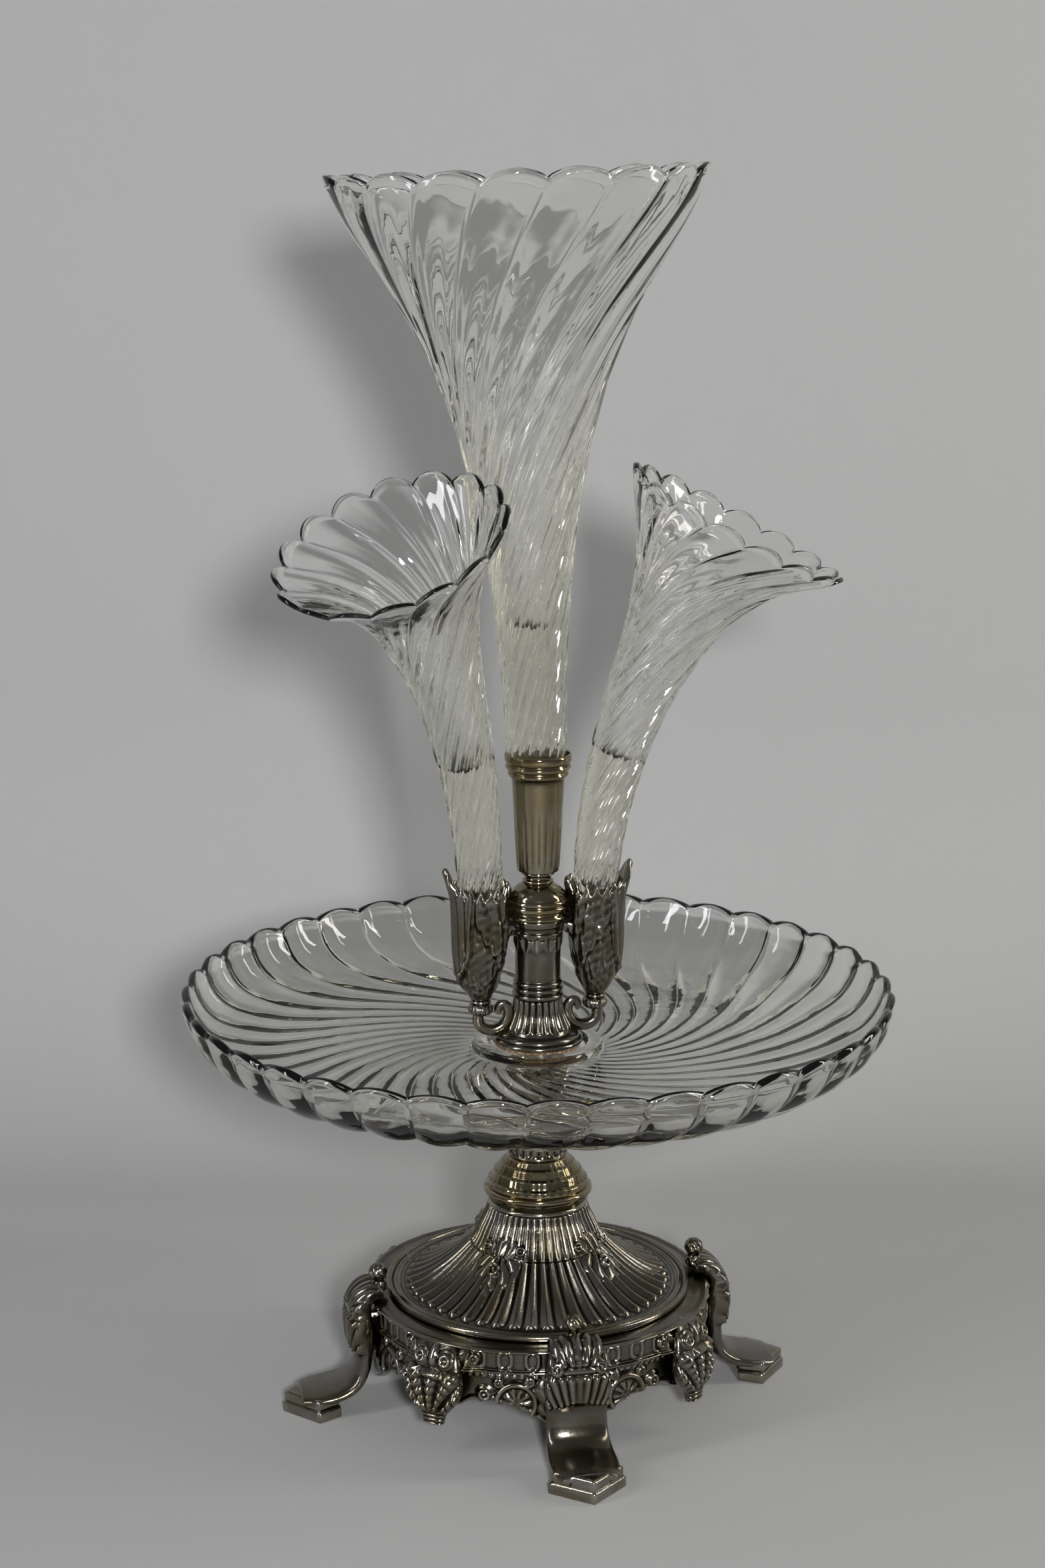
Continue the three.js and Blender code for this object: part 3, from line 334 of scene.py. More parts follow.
def toned_metal_group():
    """Worn metal: bright edges, hollows darkened by tarnish and by painted shade, cloudy tarnish and a fine
    skin of scratches.
    """
    group, start, end = new_group(
        "tarnish and shade metal",
        [("Bright", COLOUR, (0.6, 0.57, 0.5, 1)), ("Toned", COLOUR, (0.1, 0.08, 0.05, 1)),
         ("Warm", COLOUR, (0.5, 0.42, 0.26, 1)), ("Hollow at", FLOAT, 0.47), ("Edge at", FLOAT, 0.55),
         ("Gloss", FLOAT, 0.2), ("Clouds", FLOAT, 60.0)],
        [("Color", COLOUR), ("Roughness", FLOAT), ("Height", FLOAT)],
    )
    given = start.outputs
    place = add_node(group, "ShaderNodeTexCoord").outputs["Object"]
    surface = add_node(group, "ShaderNodeNewGeometry").outputs["Pointiness"]
    clouds = add_node(group, "ShaderNodeTexNoise", Vector=place, Scale=given["Clouds"],
                      Detail=4.0, Roughness=0.6).outputs["Fac"]
    grain = add_node(group, "ShaderNodeTexNoise", Vector=place, Scale=900.0, Detail=3.0).outputs["Fac"]
    # Low pointiness marks the hollows, which take the dark colour: partly tarnish, partly painted shade in
    # the recesses.
    raised = spread(group, surface, given["Hollow at"], given["Edge at"])
    metal = blend(group, spread(group, clouds, 0.38, 0.66), given["Bright"], given["Warm"])
    dull = maths(group, "MULTIPLY", clouds, ROUGHEST_CLOUD)
    sunk = maths(group, "MULTIPLY_ADD", raised, -EDGE_POLISH, dull)
    rough = maths(group, "ADD", sunk, given["Gloss"])
    group.links.new(blend(group, raised, given["Toned"], metal), end.inputs["Color"])
    group.links.new(maths(group, "MAXIMUM", rough, LEAST_ROUGHNESS), end.inputs["Roughness"])
    group.links.new(grain, end.inputs["Height"])
    return group


def ripple_group():
    """The slow ripple that pressed glass keeps when its skin is melted smooth."""
    group, start, end = new_group("melted ripple", [("Size", FLOAT, 90.0)], [("Height", FLOAT)])
    place = add_node(group, "ShaderNodeTexCoord").outputs["Object"]
    wave = add_node(group, "ShaderNodeTexNoise", Vector=place, Scale=start.outputs["Size"],
                    Detail=1.5, Roughness=0.45).outputs["Fac"]
    group.links.new(wave, end.inputs["Height"])
    return group


tarnish_and_shade_metal = toned_metal_group()
melted_ripple = ripple_group()
print("node groups:", [group.name for group in bpy.data.node_groups])


# %% [markdown]
# ### Metal
# Three metals use the group: the casting is darker and rougher, the turned pieces are brighter, and
# the screws are plain steel. Each takes its own colours and its own balance of bright metal and of
# hollows darkened by tarnish and painted shade.

# %% Mix the metals
def principled(name):
    """A new material and its shader."""
    material = bpy.data.materials.new(name)
    material.use_nodes = True
    return material, material.node_tree.nodes["Principled BSDF"]


def metal(name, bright, toned, warm, hollow_at, edge_at, gloss, bump):
    """A worn metal with its own colours, wear and depth of grain. Its hollows take a dark colour that is
    partly tarnish and partly painted shade.
    """
    material, shader = principled(name)
    tree = material.node_tree
    # The hollows take the dark colour: partly tarnish, partly painted shade.
    worn = add_node(tree, "ShaderNodeGroup", {"node_tree": tarnish_and_shade_metal}, Bright=(*bright, 1),
                    Toned=(*toned, 1), Warm=(*warm, 1), Hollow_at=hollow_at, Edge_at=edge_at, Gloss=gloss)
    relief = add_node(tree, "ShaderNodeBump", Strength=bump, Distance=0.0002,
                      Height=worn.outputs["Height"])
    tree.links.new(worn.outputs["Color"], shader.inputs["Base Color"])
    tree.links.new(worn.outputs["Roughness"], shader.inputs["Roughness"])
    tree.links.new(relief.outputs["Normal"], shader.inputs["Normal"])
    shader.inputs["Metallic"].default_value = 1
    return material


# The dark hollow colours below are partly tarnish and partly painted shade.
finishes = {
    "cast_pewter": metal(
        "cast pewter", bright=(0.36, 0.345, 0.31), toned=(0.020, 0.017, 0.013),
        warm=(0.26, 0.22, 0.14), hollow_at=0.465, edge_at=0.55, gloss=0.15, bump=0.25),
    "polished_pewter": metal(
        "polished pewter", bright=(0.36, 0.32, 0.24), toned=(0.030, 0.024, 0.016),
        warm=(0.28, 0.22, 0.115), hollow_at=0.45, edge_at=0.53, gloss=0.10, bump=0.12),
    "fastener_steel": metal(
        "fastener steel", bright=(0.55, 0.55, 0.54), toned=(0.2, 0.2, 0.19),
        warm=(0.45, 0.44, 0.42), hollow_at=0.42, edge_at=0.5, gloss=0.3, bump=0.3),
}
print("metals:", sorted(finishes))


# %% [markdown]
# ### Glass
# Pressed glass is clear with a slight yellow-green cast, which shows where there is much of it: in
# the solid stems and along the rims. An absorbing volume gives just that, and a flat tint wouldn't.

# %% Pour the glass
GLASS_TINT, TINT_DENSITY = (0.82, 0.80, 0.56, 1), 24.0


def pressed_glass():
    """Clear glass, tinted by its depth and with a melted skin."""
    material, shader = principled("pressed glass")
    tree = material.node_tree
    shader.inputs["Base Color"].default_value = (1, 1, 1, 1)
    shader.inputs["Metallic"].default_value = 0
    shader.inputs["Roughness"].default_value = 0.015
    shader.inputs["IOR"].default_value = 1.5
    shader.inputs["Transmission Weight"].default_value = 1
    ripple = add_node(tree, "ShaderNodeGroup", {"node_tree": melted_ripple})
    bump = add_node(tree, "ShaderNodeBump", Strength=0.4, Distance=0.0006,
                    Height=ripple.outputs["Height"])
    tree.links.new(bump.outputs["Normal"], shader.inputs["Normal"])
    tint = add_node(tree, "ShaderNodeVolumeAbsorption", Color=GLASS_TINT, Density=TINT_DENSITY)
    tree.links.new(tint.outputs["Volume"], tree.nodes["Material Output"].inputs["Volume"])
    return material


finishes["pressed_glass"] = pressed_glass()
print("added", finishes["pressed_glass"].name)


# %% [markdown]
# ### Cork
# The pads and sleeves are ground cork pressed with a binder. Small cells of slightly different
# browns, parted by dark seams, read as cork at this size.

# %% Press the cork
CORK_DARK, CORK_PALE, CORK_SEAM = (0.22, 0.14, 0.075, 1), (0.34, 0.225, 0.125, 1), (0.09, 0.055, 0.03, 1)


def pressed_cork():
    """Grains of brown cork with dark seams."""
    material, shader = principled("pressed cork")
    tree = material.node_tree
    place = add_node(tree, "ShaderNodeTexCoord").outputs["Object"]
    grains = add_node(tree, "ShaderNodeTexVoronoi", Vector=place, Scale=700.0)
    browns = blend(tree, grains.outputs["Color"], CORK_DARK, CORK_PALE)
    seam = spread(tree, grains.outputs["Distance"], 0.35, 0.7)
    bump = add_node(tree, "ShaderNodeBump", {"invert": True}, Strength=0.5, Distance=0.0002,
                    Height=grains.outputs["Distance"])
    tree.links.new(blend(tree, seam, browns, CORK_SEAM), shader.inputs["Base Color"])
    tree.links.new(bump.outputs["Normal"], shader.inputs["Normal"])
    shader.inputs["Roughness"].default_value = 0.85
    return material


finishes["cork"] = pressed_cork()
print("added", finishes["cork"].name)

# %% [markdown]
# ### The pieces that stay
# Screws, nuts, the rod and the cork are plain and mostly out of sight. The CAD model's own shapes do
# for them, and they only take their finish. What follows replaces the others one by one.

# %% Dress the CAD pieces
for subpart in frame["record"]["subparts"]:
    node = frame["nodes"][subpart["node"]]
    node.data.materials.clear()
    node.data.materials.append(finishes[subpart["material_slot"]])

# %% [markdown]
# ## The pressed dish
# The dish came from a mould: a flat well, a slope and a rim of forty thick lobes. The grooves
# between the lobes start near the middle and swirl out to the rim. Cutting them with booleans would
# leave sharp seams, which show in glass. Here the whole dish is one skin: every ring swings between
# the section along a lobe and the section along a groove.

# %% Press the dish
DISH_LOBES = 40
DISH_RADIUS = 140
DISH_SWIRL = math.radians(1.35)
DISH_THICKNESS = 5.5
LIP_DROP = 3.4


def dish_swirl(r):
    """How far the grooves have turned at a radius, so that they meet the rim square."""
    return DISH_SWIRL * (r - r**2 / (2 * DISH_RADIUS))


def pressed_dish():
    """The dish as one skin: up its outside, over the round lip and down into the well."""
    under, rim = height_of("glass_plate")
    top = under + DISH_THICKNESS
    below = curve_through(at_level(under, [
        [25, 0], [40, 0], [62, 0], [84, 0.2], [100, 0.7], [111, 2.4], [120, 5.2], [128.5, 9.8],
        [134, 14.6], [137.4, 20], [139.2, 25.4]]) + [[DISH_RADIUS, rim - 3.0]], 6)
    above = curve_through([[136.6, rim - 3.2]] + at_level(top, [
        [135.2, 18.6], [132.0, 13.2], [126.5, 8.4], [117, 4.6], [106, 1.8], [92, 0.3], [76, 0],
        [56, 0], [34, 0], [26.4, 0.1]]), 6)
    lip = round_lip(below[-1], above[0], 2.2)
    boss = moulded(at_level(top, [[26.4, 0.1], [25, 2.5], [19.9, 2.5], [18.9, 0.1], [BORE, 0.1]]), 0.6)[1:]
    outline = np.vstack([[[BORE, under]], below, lip, above, boss])
    r, z = outline[:, :1], outline[:, 1:]
    is_below = np.arange(len(outline))[:, None] <= len(below) + len(lip) // 2
    groove = np.where(is_below, np.interp(r, [26, 40, 70, 110, 130, 140], [0, 0.7, 1.3, 1.9, 2.1, 2.3]),
                      np.interp(r, [28, 50, 100, 116, 128, 140], [0, 0.2, 0.4, 0.1, -0.9, -1.7]))
    along = directions(outline)
    angle = around(DISH_LOBES * 16)
    wave = ridges(DISH_LOBES, angle) ** 0.8 - 1
    depth = groove * wave
    drop = LIP_DROP * wave * fade(rim - 10, rim - 1, z)
    turn = dish_swirl(r) - dish_swirl(DISH_RADIUS)
    radius = r + along[:, 1:] * depth
    height = z - along[:, :1] * depth * 0.8 + drop
    return skin("pressed_dish", polar(radius, angle + turn, height), loop=True)


stands_for(pressed_dish(), "glass_plate", "pressed_glass")

# %% [markdown]
# ## The trumpet vases
# A vase is pulled from a solid rod of glass: the stem stays solid, a hollow opens above it, and the
# lobes twist round as the mouth is flared. Modifiers could twist a tube and then bend it, but the
# second would stretch the work of the first. Here each point is placed once: an outline gives length
# along the axis and radius, the slant of the grooves gives the twist, and the axis gives the bend.

# %% Draw the two flares
def swelling(share, late):
    """A swelling near the mouth: 0 at both ends."""
    return np.sin(math.pi * share**late)


def tall_flare(share):
    """How much of the widening is done at a share of the way up the tall vase."""
    return 0.03 * share + 0.62 * share**2 + 0.35 * share**5 + 0.1 * swelling(share, 6)


def small_flare(share):
    """The same for a small vase, which is slim until it opens wide."""
    return 0.15 * share + 0.3 * share**3 + 0.55 * share**7 + 0.06 * swelling(share, 12)


# %% Draw a trumpet in its own axis
GLASS_WALL = 3.2
LIP_THINNING = 0.7
LIP_RISE = 1.5


def trumpet_outline(spigot, radius_at, length, solid, hollow):
    """Points [distance along the axis, radius] up the outside and down the hollow, and how many of
    them are outside."""
    share = np.linspace(0.014, 1, 96) ** 0.9
    share = np.append(share[share < 0.985], 0.99)
    outside = np.column_stack([length * share, radius_at(share)])
    start = solid / length
    thick = radius_at(start) - hollow
    share = np.linspace(0.985, start + 0.012, 64)
    wall = GLASS_WALL + (thick - GLASS_WALL) * np.clip(1 - (share - start) / 0.4, 0, 1)
    wall = wall - LIP_THINNING * fade(0.75, 0.97, share)
    inside = np.column_stack([length * share, radius_at(share) - wall])
    lip = round_lip(outside[-1, ::-1], inside[0, ::-1], LIP_RISE)[:, ::-1]
    floor = [[solid + 0.9, hollow - 0.35], [solid + 0.25, hollow - 1.0], [solid, hollow - 2.0],
             [solid + 0.1, hollow - 3.4], [solid + 0.5, 0.9], [solid + 0.55, 0.05]]
    outline = np.vstack([spaced(moulded(spigot, 0.6), 3), outside, lip, inside, floor])
    return outline, len(outline) - len(lip) // 2 - len(inside) - len(floor)


# %% Twist the ribs and bend the axis
FOOT_SLANT, EXTRA_SLANT = 17, 10


def rib_twist(s, length, radius_at):
    """How far the ribs have turned after a distance, from the slant they have on the glass."""
    fine = np.linspace(0, length, 400)
    slant = np.tan(np.radians(FOOT_SLANT + EXTRA_SLANT * fine / length)) / radius_at(fine / length)
    return np.interp(s, fine, np.cumsum(slant) * (fine[1] - fine[0]))


def bent_axis(s, reach, arc_start, arc_radius, arc_angle, sag):
    """Where a bent axis has got to after a distance, as x, z and its slant."""
    swept = np.clip((s - arc_start) / arc_radius, 0, arc_angle)
    straight = s - arc_start - arc_radius * swept
    aside = -sag * np.sin(math.pi * reach**3)
    x = arc_radius * (1 - np.cos(swept)) + straight * np.sin(swept) + aside * np.cos(swept)
    z = arc_start + arc_radius * np.sin(swept) + straight * np.cos(swept) - aside * np.sin(swept)
    return x, z, swept


# %% Blow a trumpet
SIDES_PER_LOBE = 18
FINE_RIBS = 0.45
SCALLOP = 4.0
LEAST_RADIUS = 0.05


def trumpet(spigot, throat, mouth, length, solid, hollow, lobes, flare, bend):
    """Rings of a lobed trumpet vase. Bend says where its arc starts, its radius, angle and sag."""
    radius_at = lambda share: throat + (mouth - throat) * flare(share)
    outline, outside_rows = trumpet_outline(spigot, radius_at, length, solid, hollow)
    s, r = outline[:, :1], outline[:, 1:]
    start, reach = solid / length, np.clip(s / length, 0, 1)
    angle = around(lobes * SIDES_PER_LOBE)
    lobe = ridges(lobes, angle) ** 0.75 - 1
    fine = FINE_RIBS * (1 - reach**3) * (ridges(2 * lobes, angle) - 1)
    outer = (np.arange(len(outline))[:, None] < outside_rows) & (s > 0)
    depth = np.where(outer, 1.4 + 0.9 * reach + 0.7 * reach**6, 0.4 + 1.4 * reach**6) * (s > 0)
    depth = depth * np.clip(s / 5, 0, 1) * np.where(outer, 1, fade(start + 0.06, start + 0.3, reach))
    radius = np.maximum(r + depth * (lobe + fine), LEAST_RADIUS)
    lift = SCALLOP * reach**6 * lobe
    turn = angle + rib_twist(s, length, radius_at)
    x, z, slant = bent_axis(s, reach, *bend)
    across, cos, sin = radius * np.cos(turn), np.cos(slant), np.sin(slant)
    return np.stack([x + across * cos + lift * sin, radius * np.sin(turn), z - across * sin + lift * cos],
                    axis=-1)


# %% Stand the tall vase in its cup, leaning a little
LEAN = math.radians(2.3)
LEAN_AZIMUTH = math.radians(140)
LEAN_PIVOT = 15
STRAIGHT = (0, 1, 0, 0)
cup_low, cup_high = height_of("centre_cup")


def leaning(points):
    """Leans points about a pivot under the rim of the cup."""
    u = np.array([-math.sin(LEAN_AZIMUTH), math.cos(LEAN_AZIMUTH), 0])
    p = points + np.array([0, 0, LEAN_PIVOT])
    side = np.cross(u, p)
    p = p * math.cos(LEAN) + side * math.sin(LEAN) + (p @ u)[..., None] * u * (1 - math.cos(LEAN))
    return p + np.array([0, 0, cup_high - LEAN_PIVOT])


tall_vase = trumpet(spigot=[[-35, 0.1], [-35, 4.6], [-12, 6.6], [-2.6, 10.2], [0.6, 11.6]],
                    throat=11.9, mouth=73.5, length=222.6, solid=50, hollow=6.0, lobes=18,
                    flare=tall_flare, bend=STRAIGHT)
stands_for(skin("tall_vase", leaning(tall_vase)), "vase_centre", "pressed_glass")

# %% Bend the small vases and stand them in their sockets
SOCKET_OFFSET = 23
SOCKET_RIM = 214.5
SMALL_BEND = (-10, 198, math.radians(28.5), 4.8)
small_vase = trumpet(spigot=[[-24, 0.1], [-24, 6.1], [-7, 6.1], [-2, 8.3], [0.4, 8.8]],
                     throat=8.9, mouth=47, length=153, solid=50, hollow=7.2, lobes=16,
                     flare=small_flare, bend=SMALL_BEND)
for side, offset, azimuth in [("right", SOCKET_OFFSET, -12), ("left", -SOCKET_OFFSET, 222)]:
    placed = turned_about(small_vase, math.radians(azimuth)) + np.array([offset, 0, SOCKET_RIM])
    stands_for(skin(side + "_vase", placed), "vase_" + side, "pressed_glass")

# %% [markdown]
# ## The frame of the base
# The frame is one casting: a band with rows of arched recesses and a leafy apron below it. Sculpted
# by hand, the four sides would differ. Relief from formulas comes out alike, and can be changed. It
# is drawn on the band as on paper, with u running along it from a drop's middle and z up. Each
# ornament has its place, its size and its height there, in millimetres.

# %% Model the relief of the frame
FRAME_RADIUS = 68
_, frame_high = height_of("base_frame")
frieze_top = frame_high - 1.3
frieze_low = frieze_top - 6.8
apron_top = frieze_low - 2.3
SIDE_LENGTH = FRAME_RADIUS * TURN / 4


def apron_edge(u):
    """The height of the apron's lower edge: it dips behind a drop and in webs beside a foot."""
    from_foot = SIDE_LENGTH / 2 - np.abs(u)
    dip = 5.5 * np.exp(-((u / 10.7) ** 2))
    web = 12 * np.exp(-((from_foot / 16.6) ** 2))
    wave = 1.1 * np.abs(np.sin((np.abs(u) - 9) * math.pi / 8)) * within(10, 34, 2, np.abs(u))
    return 24.5 - dip - web + wave


def curled(distance, size, pitch):
    """A small scroll: a boss with rings cut round its middle."""
    return dome(distance, size) * (1 + 0.3 * np.cos(TURN * distance / pitch))


def apron_relief(u, z):
    """A shell-shaped crest half-way to the foot, scrolls beside it and leaves that reach the foot."""
    from_drop = np.abs(u)
    across, up = from_drop - 31, z - 24.6
    reach = np.hypot(across, up)
    crest = 1.5 * dome(reach, 6.8) * (0.35 + 0.65 * np.abs(np.cos(5 * np.arctan2(up, across))))
    rim = 1.7 * dome(np.abs(reach - 7.6), 1.3)
    scroll = 1.9 * curled(np.hypot(from_drop - 18.5, z - 27.6), 3.6, 1.9)
    small = 1.4 * curled(np.hypot(from_drop - 24, z - 32.6), 2.4, 1.5)
    bud = 1.3 * curled(np.hypot(from_drop - 36.5, z - 33.4), 2.6, 1.6)
    fan = np.arctan2(z - 16, from_drop - 54)
    leaf = 2.2 * dome(np.hypot((from_drop - 44) / 7.5, (z - 27) / 8.5), 1)
    leaf = leaf * (0.45 + 0.55 * np.abs(np.cos(8 * fan)))
    beads = 0.5 * dome(np.hypot((from_drop + 1.5) % 3 - 1.5, z - apron_top + 1.4), 1.1)
    shape = highest(crest, rim, scroll, small, bud, leaf, beads)
    return shape * fade(apron_top + 0.2, apron_top - 0.8, z)


# %% Cut the frieze
def frieze_relief(angle, z):
    """Arched recesses with a raised border, six to a side."""
    facet = math.radians(9)
    x = np.abs(nearest(angle, 40, facet / 2)) * FRAME_RADIUS
    used = np.isin(np.floor(angle / facet) % 10, [1, 2, 3, 6, 7, 8])
    middle = (frieze_top + frieze_low) / 2
    half_width, half_height = 1.75, 2.9
    reach = np.hypot(x, np.maximum(np.abs(z - middle) - (half_height - half_width), 0))
    hole = fade(half_width + 0.15, half_width - 0.35, reach)
    border = dome(np.abs(reach - half_width - 0.65), 0.75)
    return used * (0.6 * border - 2.4 * hole)


def side_leaves(u, z):
    """Leaf curls on the frieze, on both sides of a drop's top."""
    from_drop = np.abs(u)
    leaf = 2.0 * dome(np.hypot((from_drop - 10.5) / 5.6, (z - 39.5) / 4.6), 1)
    leaf = leaf * (0.5 + 0.5 * np.abs(np.cos(4.5 * np.arctan2(z - 33, from_drop - 6))))
    return np.maximum(leaf, 1.7 * curled(np.hypot(from_drop - 14.6, z - 42.0), 2.7, 1.6))


# %% [markdown]
# ## Bars
# The drops, the feet and the arms are bars of changing width, swept along a curve with a squared
# section. A bevelled curve makes bars too, but takes no relief. Here the relief is drawn on the front
# face, by the distance across it and the place along it.

# %% Sweep a bar along a curve
def swept_bar(stations, sides, square, relief):
    """Rings of a bar in the XZ plane. A station is [x, z, width across, thickness], and the higher
    square is, the sharper are the corners of the section."""
    x, z, width, thick = np.array(stations).T[:, :, None]
    along = directions(np.hstack([x, z]))
    out_x, out_z = -along[:, 1:], along[:, :1]
    angle = around(sides)
    power = 2 / square
    side = np.sign(np.cos(angle)) * np.abs(np.cos(angle)) ** power
    front = np.sign(np.sin(angle)) * np.abs(np.sin(angle)) ** power
    depth = relief(side * width / 2, x, z, fade(-0.7, 0.35, front))
    outward = front * thick / 2 + depth
    across = side * (width / 2 + 0.35 * depth)
    return np.stack([x + out_x * outward, across, z + out_z * outward], axis=-1)


def several(name, shells):
    """One object from several closed shells."""
    pieces = [skin(name, rings, loop) for rings, loop in shells]
    with bpy.context.temp_override(active_object=pieces[0], selected_editable_objects=pieces):
        bpy.ops.object.join()
    return pieces[0]


# %% [markdown]
# ## The shell drops
# A drop hangs over the middle of each side: scrolls at its top, a bulging shell of ribs and rings,
# and a ribbed tab at its foot. It is a short wide bar, made once and turned to its four places, and
# then joined to the band, because the frame and its drops are one casting.

# %% Model a drop
def drop_carving(y, x, z, front):
    """Relief of a drop, from its scrolls down to its tab."""
    fan = np.arctan2(y, z - 16)
    ribs = np.abs(np.cos(7.5 * fan)) * within(20.5, 36, 1.2, z)
    rings = np.abs(np.cos(math.pi * np.hypot(y, z - 19) / 3.2)) * within(22, 35, 1.0, z)
    scrolls = np.maximum(curled(np.hypot(np.abs(y) - 5.4, z - 40.5), 3.6, 1.8),
                         1.1 * dome(np.hypot(y / 1.9, (z - 41.5) / 4.2), 1))
    eyes = dome(np.hypot(np.abs(y) - 3.4, z - 34.6), 1.7)
    tab = np.abs(np.sin(math.pi * z / 1.7)) * within(14.5, 21, 0.5, z)
    return front * (1.3 * ribs + 0.8 * rings * ribs + 1.6 * scrolls + 1.0 * eyes + 0.55 * tab)


def drop_shell():
    """Rings of a drop, which bulges in its middle and narrows to its tab."""
    r = FRAME_RADIUS + 1.5
    path = curve_through([
        [r - 0.6, 45.6, 14, 3], [r + 0.8, 42.2, 19, 5], [r + 1.8, 37, 22.5, 6.6], [r + 2.4, 31, 24.5, 7.8],
        [r + 2.8, 26, 22.5, 7.8], [r + 3.0, 21.8, 16.5, 6.8], [r + 3.2, 18.2, 10.5, 5.6],
        [r + 3.6, 14.6, 8.6, 4.4]], 12)
    return swept_bar(path, 120, 2.6, drop_carving)


# %% Cast the frame
FRAME_BACK, PLATE_THICKNESS = 64, 3


def frame_band():
    """The band with its frieze and its apron, as rings that go round the whole section."""
    angle = around(4 * 210)
    u = nearest(angle, 4, TURN / 8) * FRAME_RADIUS
    swell = 1.5 * (1 - np.cos(4 * angle)) / 2
    edge = apron_edge(u)
    bands = []
    for t in np.linspace(0, 1, 34):
        z = edge + (apron_top - edge) * t
        lip = 1.0 * dome(np.abs(z - edge - 1.0), 1.0)
        depth = np.maximum(apron_relief(u, z), lip)
        bands.append((FRAME_RADIUS - 2.0 + swell + depth, z))
    wall = FRAME_RADIUS
    band = spaced(moulded([
        [wall - 2.0, apron_top], [wall + 0.4, apron_top + 0.6], [wall + 0.6, apron_top + 1.3],
        [wall - 0.4, apron_top + 1.6], [wall - 0.2, frieze_low - 0.3], [wall - 1.0, frieze_low],
        [wall - 1.0, frieze_top - 0.2], [wall + 0.5, frieze_top], [wall + 0.7, frieze_top + 0.7],
        [wall - 0.4, frieze_top + 1.0], [wall - 2.6, frieze_top + 0.7], [62.4, frame_high - 0.4],
    ], 0.35), 0.4)
    for r, z in band[1:]:
        depth = np.maximum(frieze_relief(angle, z), side_leaves(u, z) if z < frieze_top else 0)
        bands.append((r + swell + depth * (r > FRAME_RADIUS - 1.6), z + 0 * angle))
    plate_low = frame_high - PLATE_THICKNESS
    for r, z in [(60, frame_high), (50, frame_high), (50, plate_low), (FRAME_BACK, plate_low)]:
        bands.append((r + 0 * angle, z + 0 * angle))
    for t in (0.4, 0.8, 1.0):
        bands.append((FRAME_BACK + 0 * angle, plate_low + (edge - plate_low) * t))
    return [polar(r, angle, z)[0] for r, z in bands]


drops = [(turned_about(drop_shell(), (number + 0.5) * TURN / 4), False) for number in range(4)]
stands_for(several("frame_casting", [(frame_band(), True)] + drops), "base_frame", "cast_pewter")

# %% [markdown]
# ## The feet
# Each foot is a leg that rolls over the frame, carved with two tiers of leaf on the shoulder, left
# plain below, and set on a stepped pointed toe. A small rolled leaf stands on top of it. The leg is a
# bar with relief, and the toe and the leaf are closed shells that sink into it, as in a casting.

# %% Carve a foot
def leaf_carving(y, x, z, front):
    """Two tiers of leaf on the shoulder, fanning up from the leg, each with a scalloped lower edge."""
    lower_fan = np.abs(np.cos(np.arctan2(y, z - 8) * 30))
    lower_edge = 28.2 + 1.6 * (1 - lower_fan) - 0.016 * y**2
    lower = fade(lower_edge - 0.4, lower_edge + 0.5, z) * fade(41.0, 39.2, z)
    upper_fan = np.abs(np.cos(np.arctan2(y, z - 34) * 12))
    upper_edge = 43.0 + 1.4 * (1 - upper_fan)
    upper = fade(upper_edge - 0.4, upper_edge + 0.5, z) * fade(64.4, 66.4, x)
    curl = curled(np.hypot(np.abs(y) - 8.4, z - 42.6), 3.0, 1.7)
    band = 0.9 * within(41.0, 42.0, 0.4, z)
    return front * highest(
        lower * (0.8 + 1.1 * lower_fan), upper * (0.5 + 1.1 * upper_fan), 1.6 * curl, band)


TOE_MIDDLE, TOE_BEVEL = 93.0, 0.9


def toe_shell(bottom, top, scale):
    """A pointed pad: a pentagon whose upper edge is rounded."""
    corner = np.array([[-11, -10], [-1.8, -15], [11, 0], [-1.8, 15], [-11, 10]]) * scale
    outline = spaced(np.vstack([corner, corner[:1]]), 1.2)[:-1]
    rings = []
    for z, inset in [(bottom, 0.3), (bottom + 0.4, 0.0), (top - TOE_BEVEL, 0.0),
                     (top - TOE_BEVEL * 0.3, TOE_BEVEL * 0.3), (top, TOE_BEVEL), (top + 0.2, 3.0)]:
        ring = outline * (1 - inset / 12) + np.array([TOE_MIDDLE, 0.0])
        rings.append(np.column_stack([ring, np.full(len(ring), z)]))
    return rings


def knob_shell(circle, floor):
    """The rolled leaf on top of a foot: two swellings with a slanting rib round them."""
    outline = curve_through(at_level(floor, [
        [2.4, -0.8], [3.7, 0.8], [3.0, 2.8], [2.3, 4.0], [3.4, 5.8], [3.8, 7.4], [3.2, 9.4], [1.6, 10.8],
        [0.2, 11.0]]), 5)
    angle = around(48)
    ribs = 0.5 * np.abs(np.cos(3.5 * angle + outline[:, 1:] * 0.7)) * fade(0.4, 2.0, outline[:, :1])
    return polar(outline[:, :1] - 0.4 + ribs, angle, outline[:, 1:]) + np.array([circle, 0, 0])


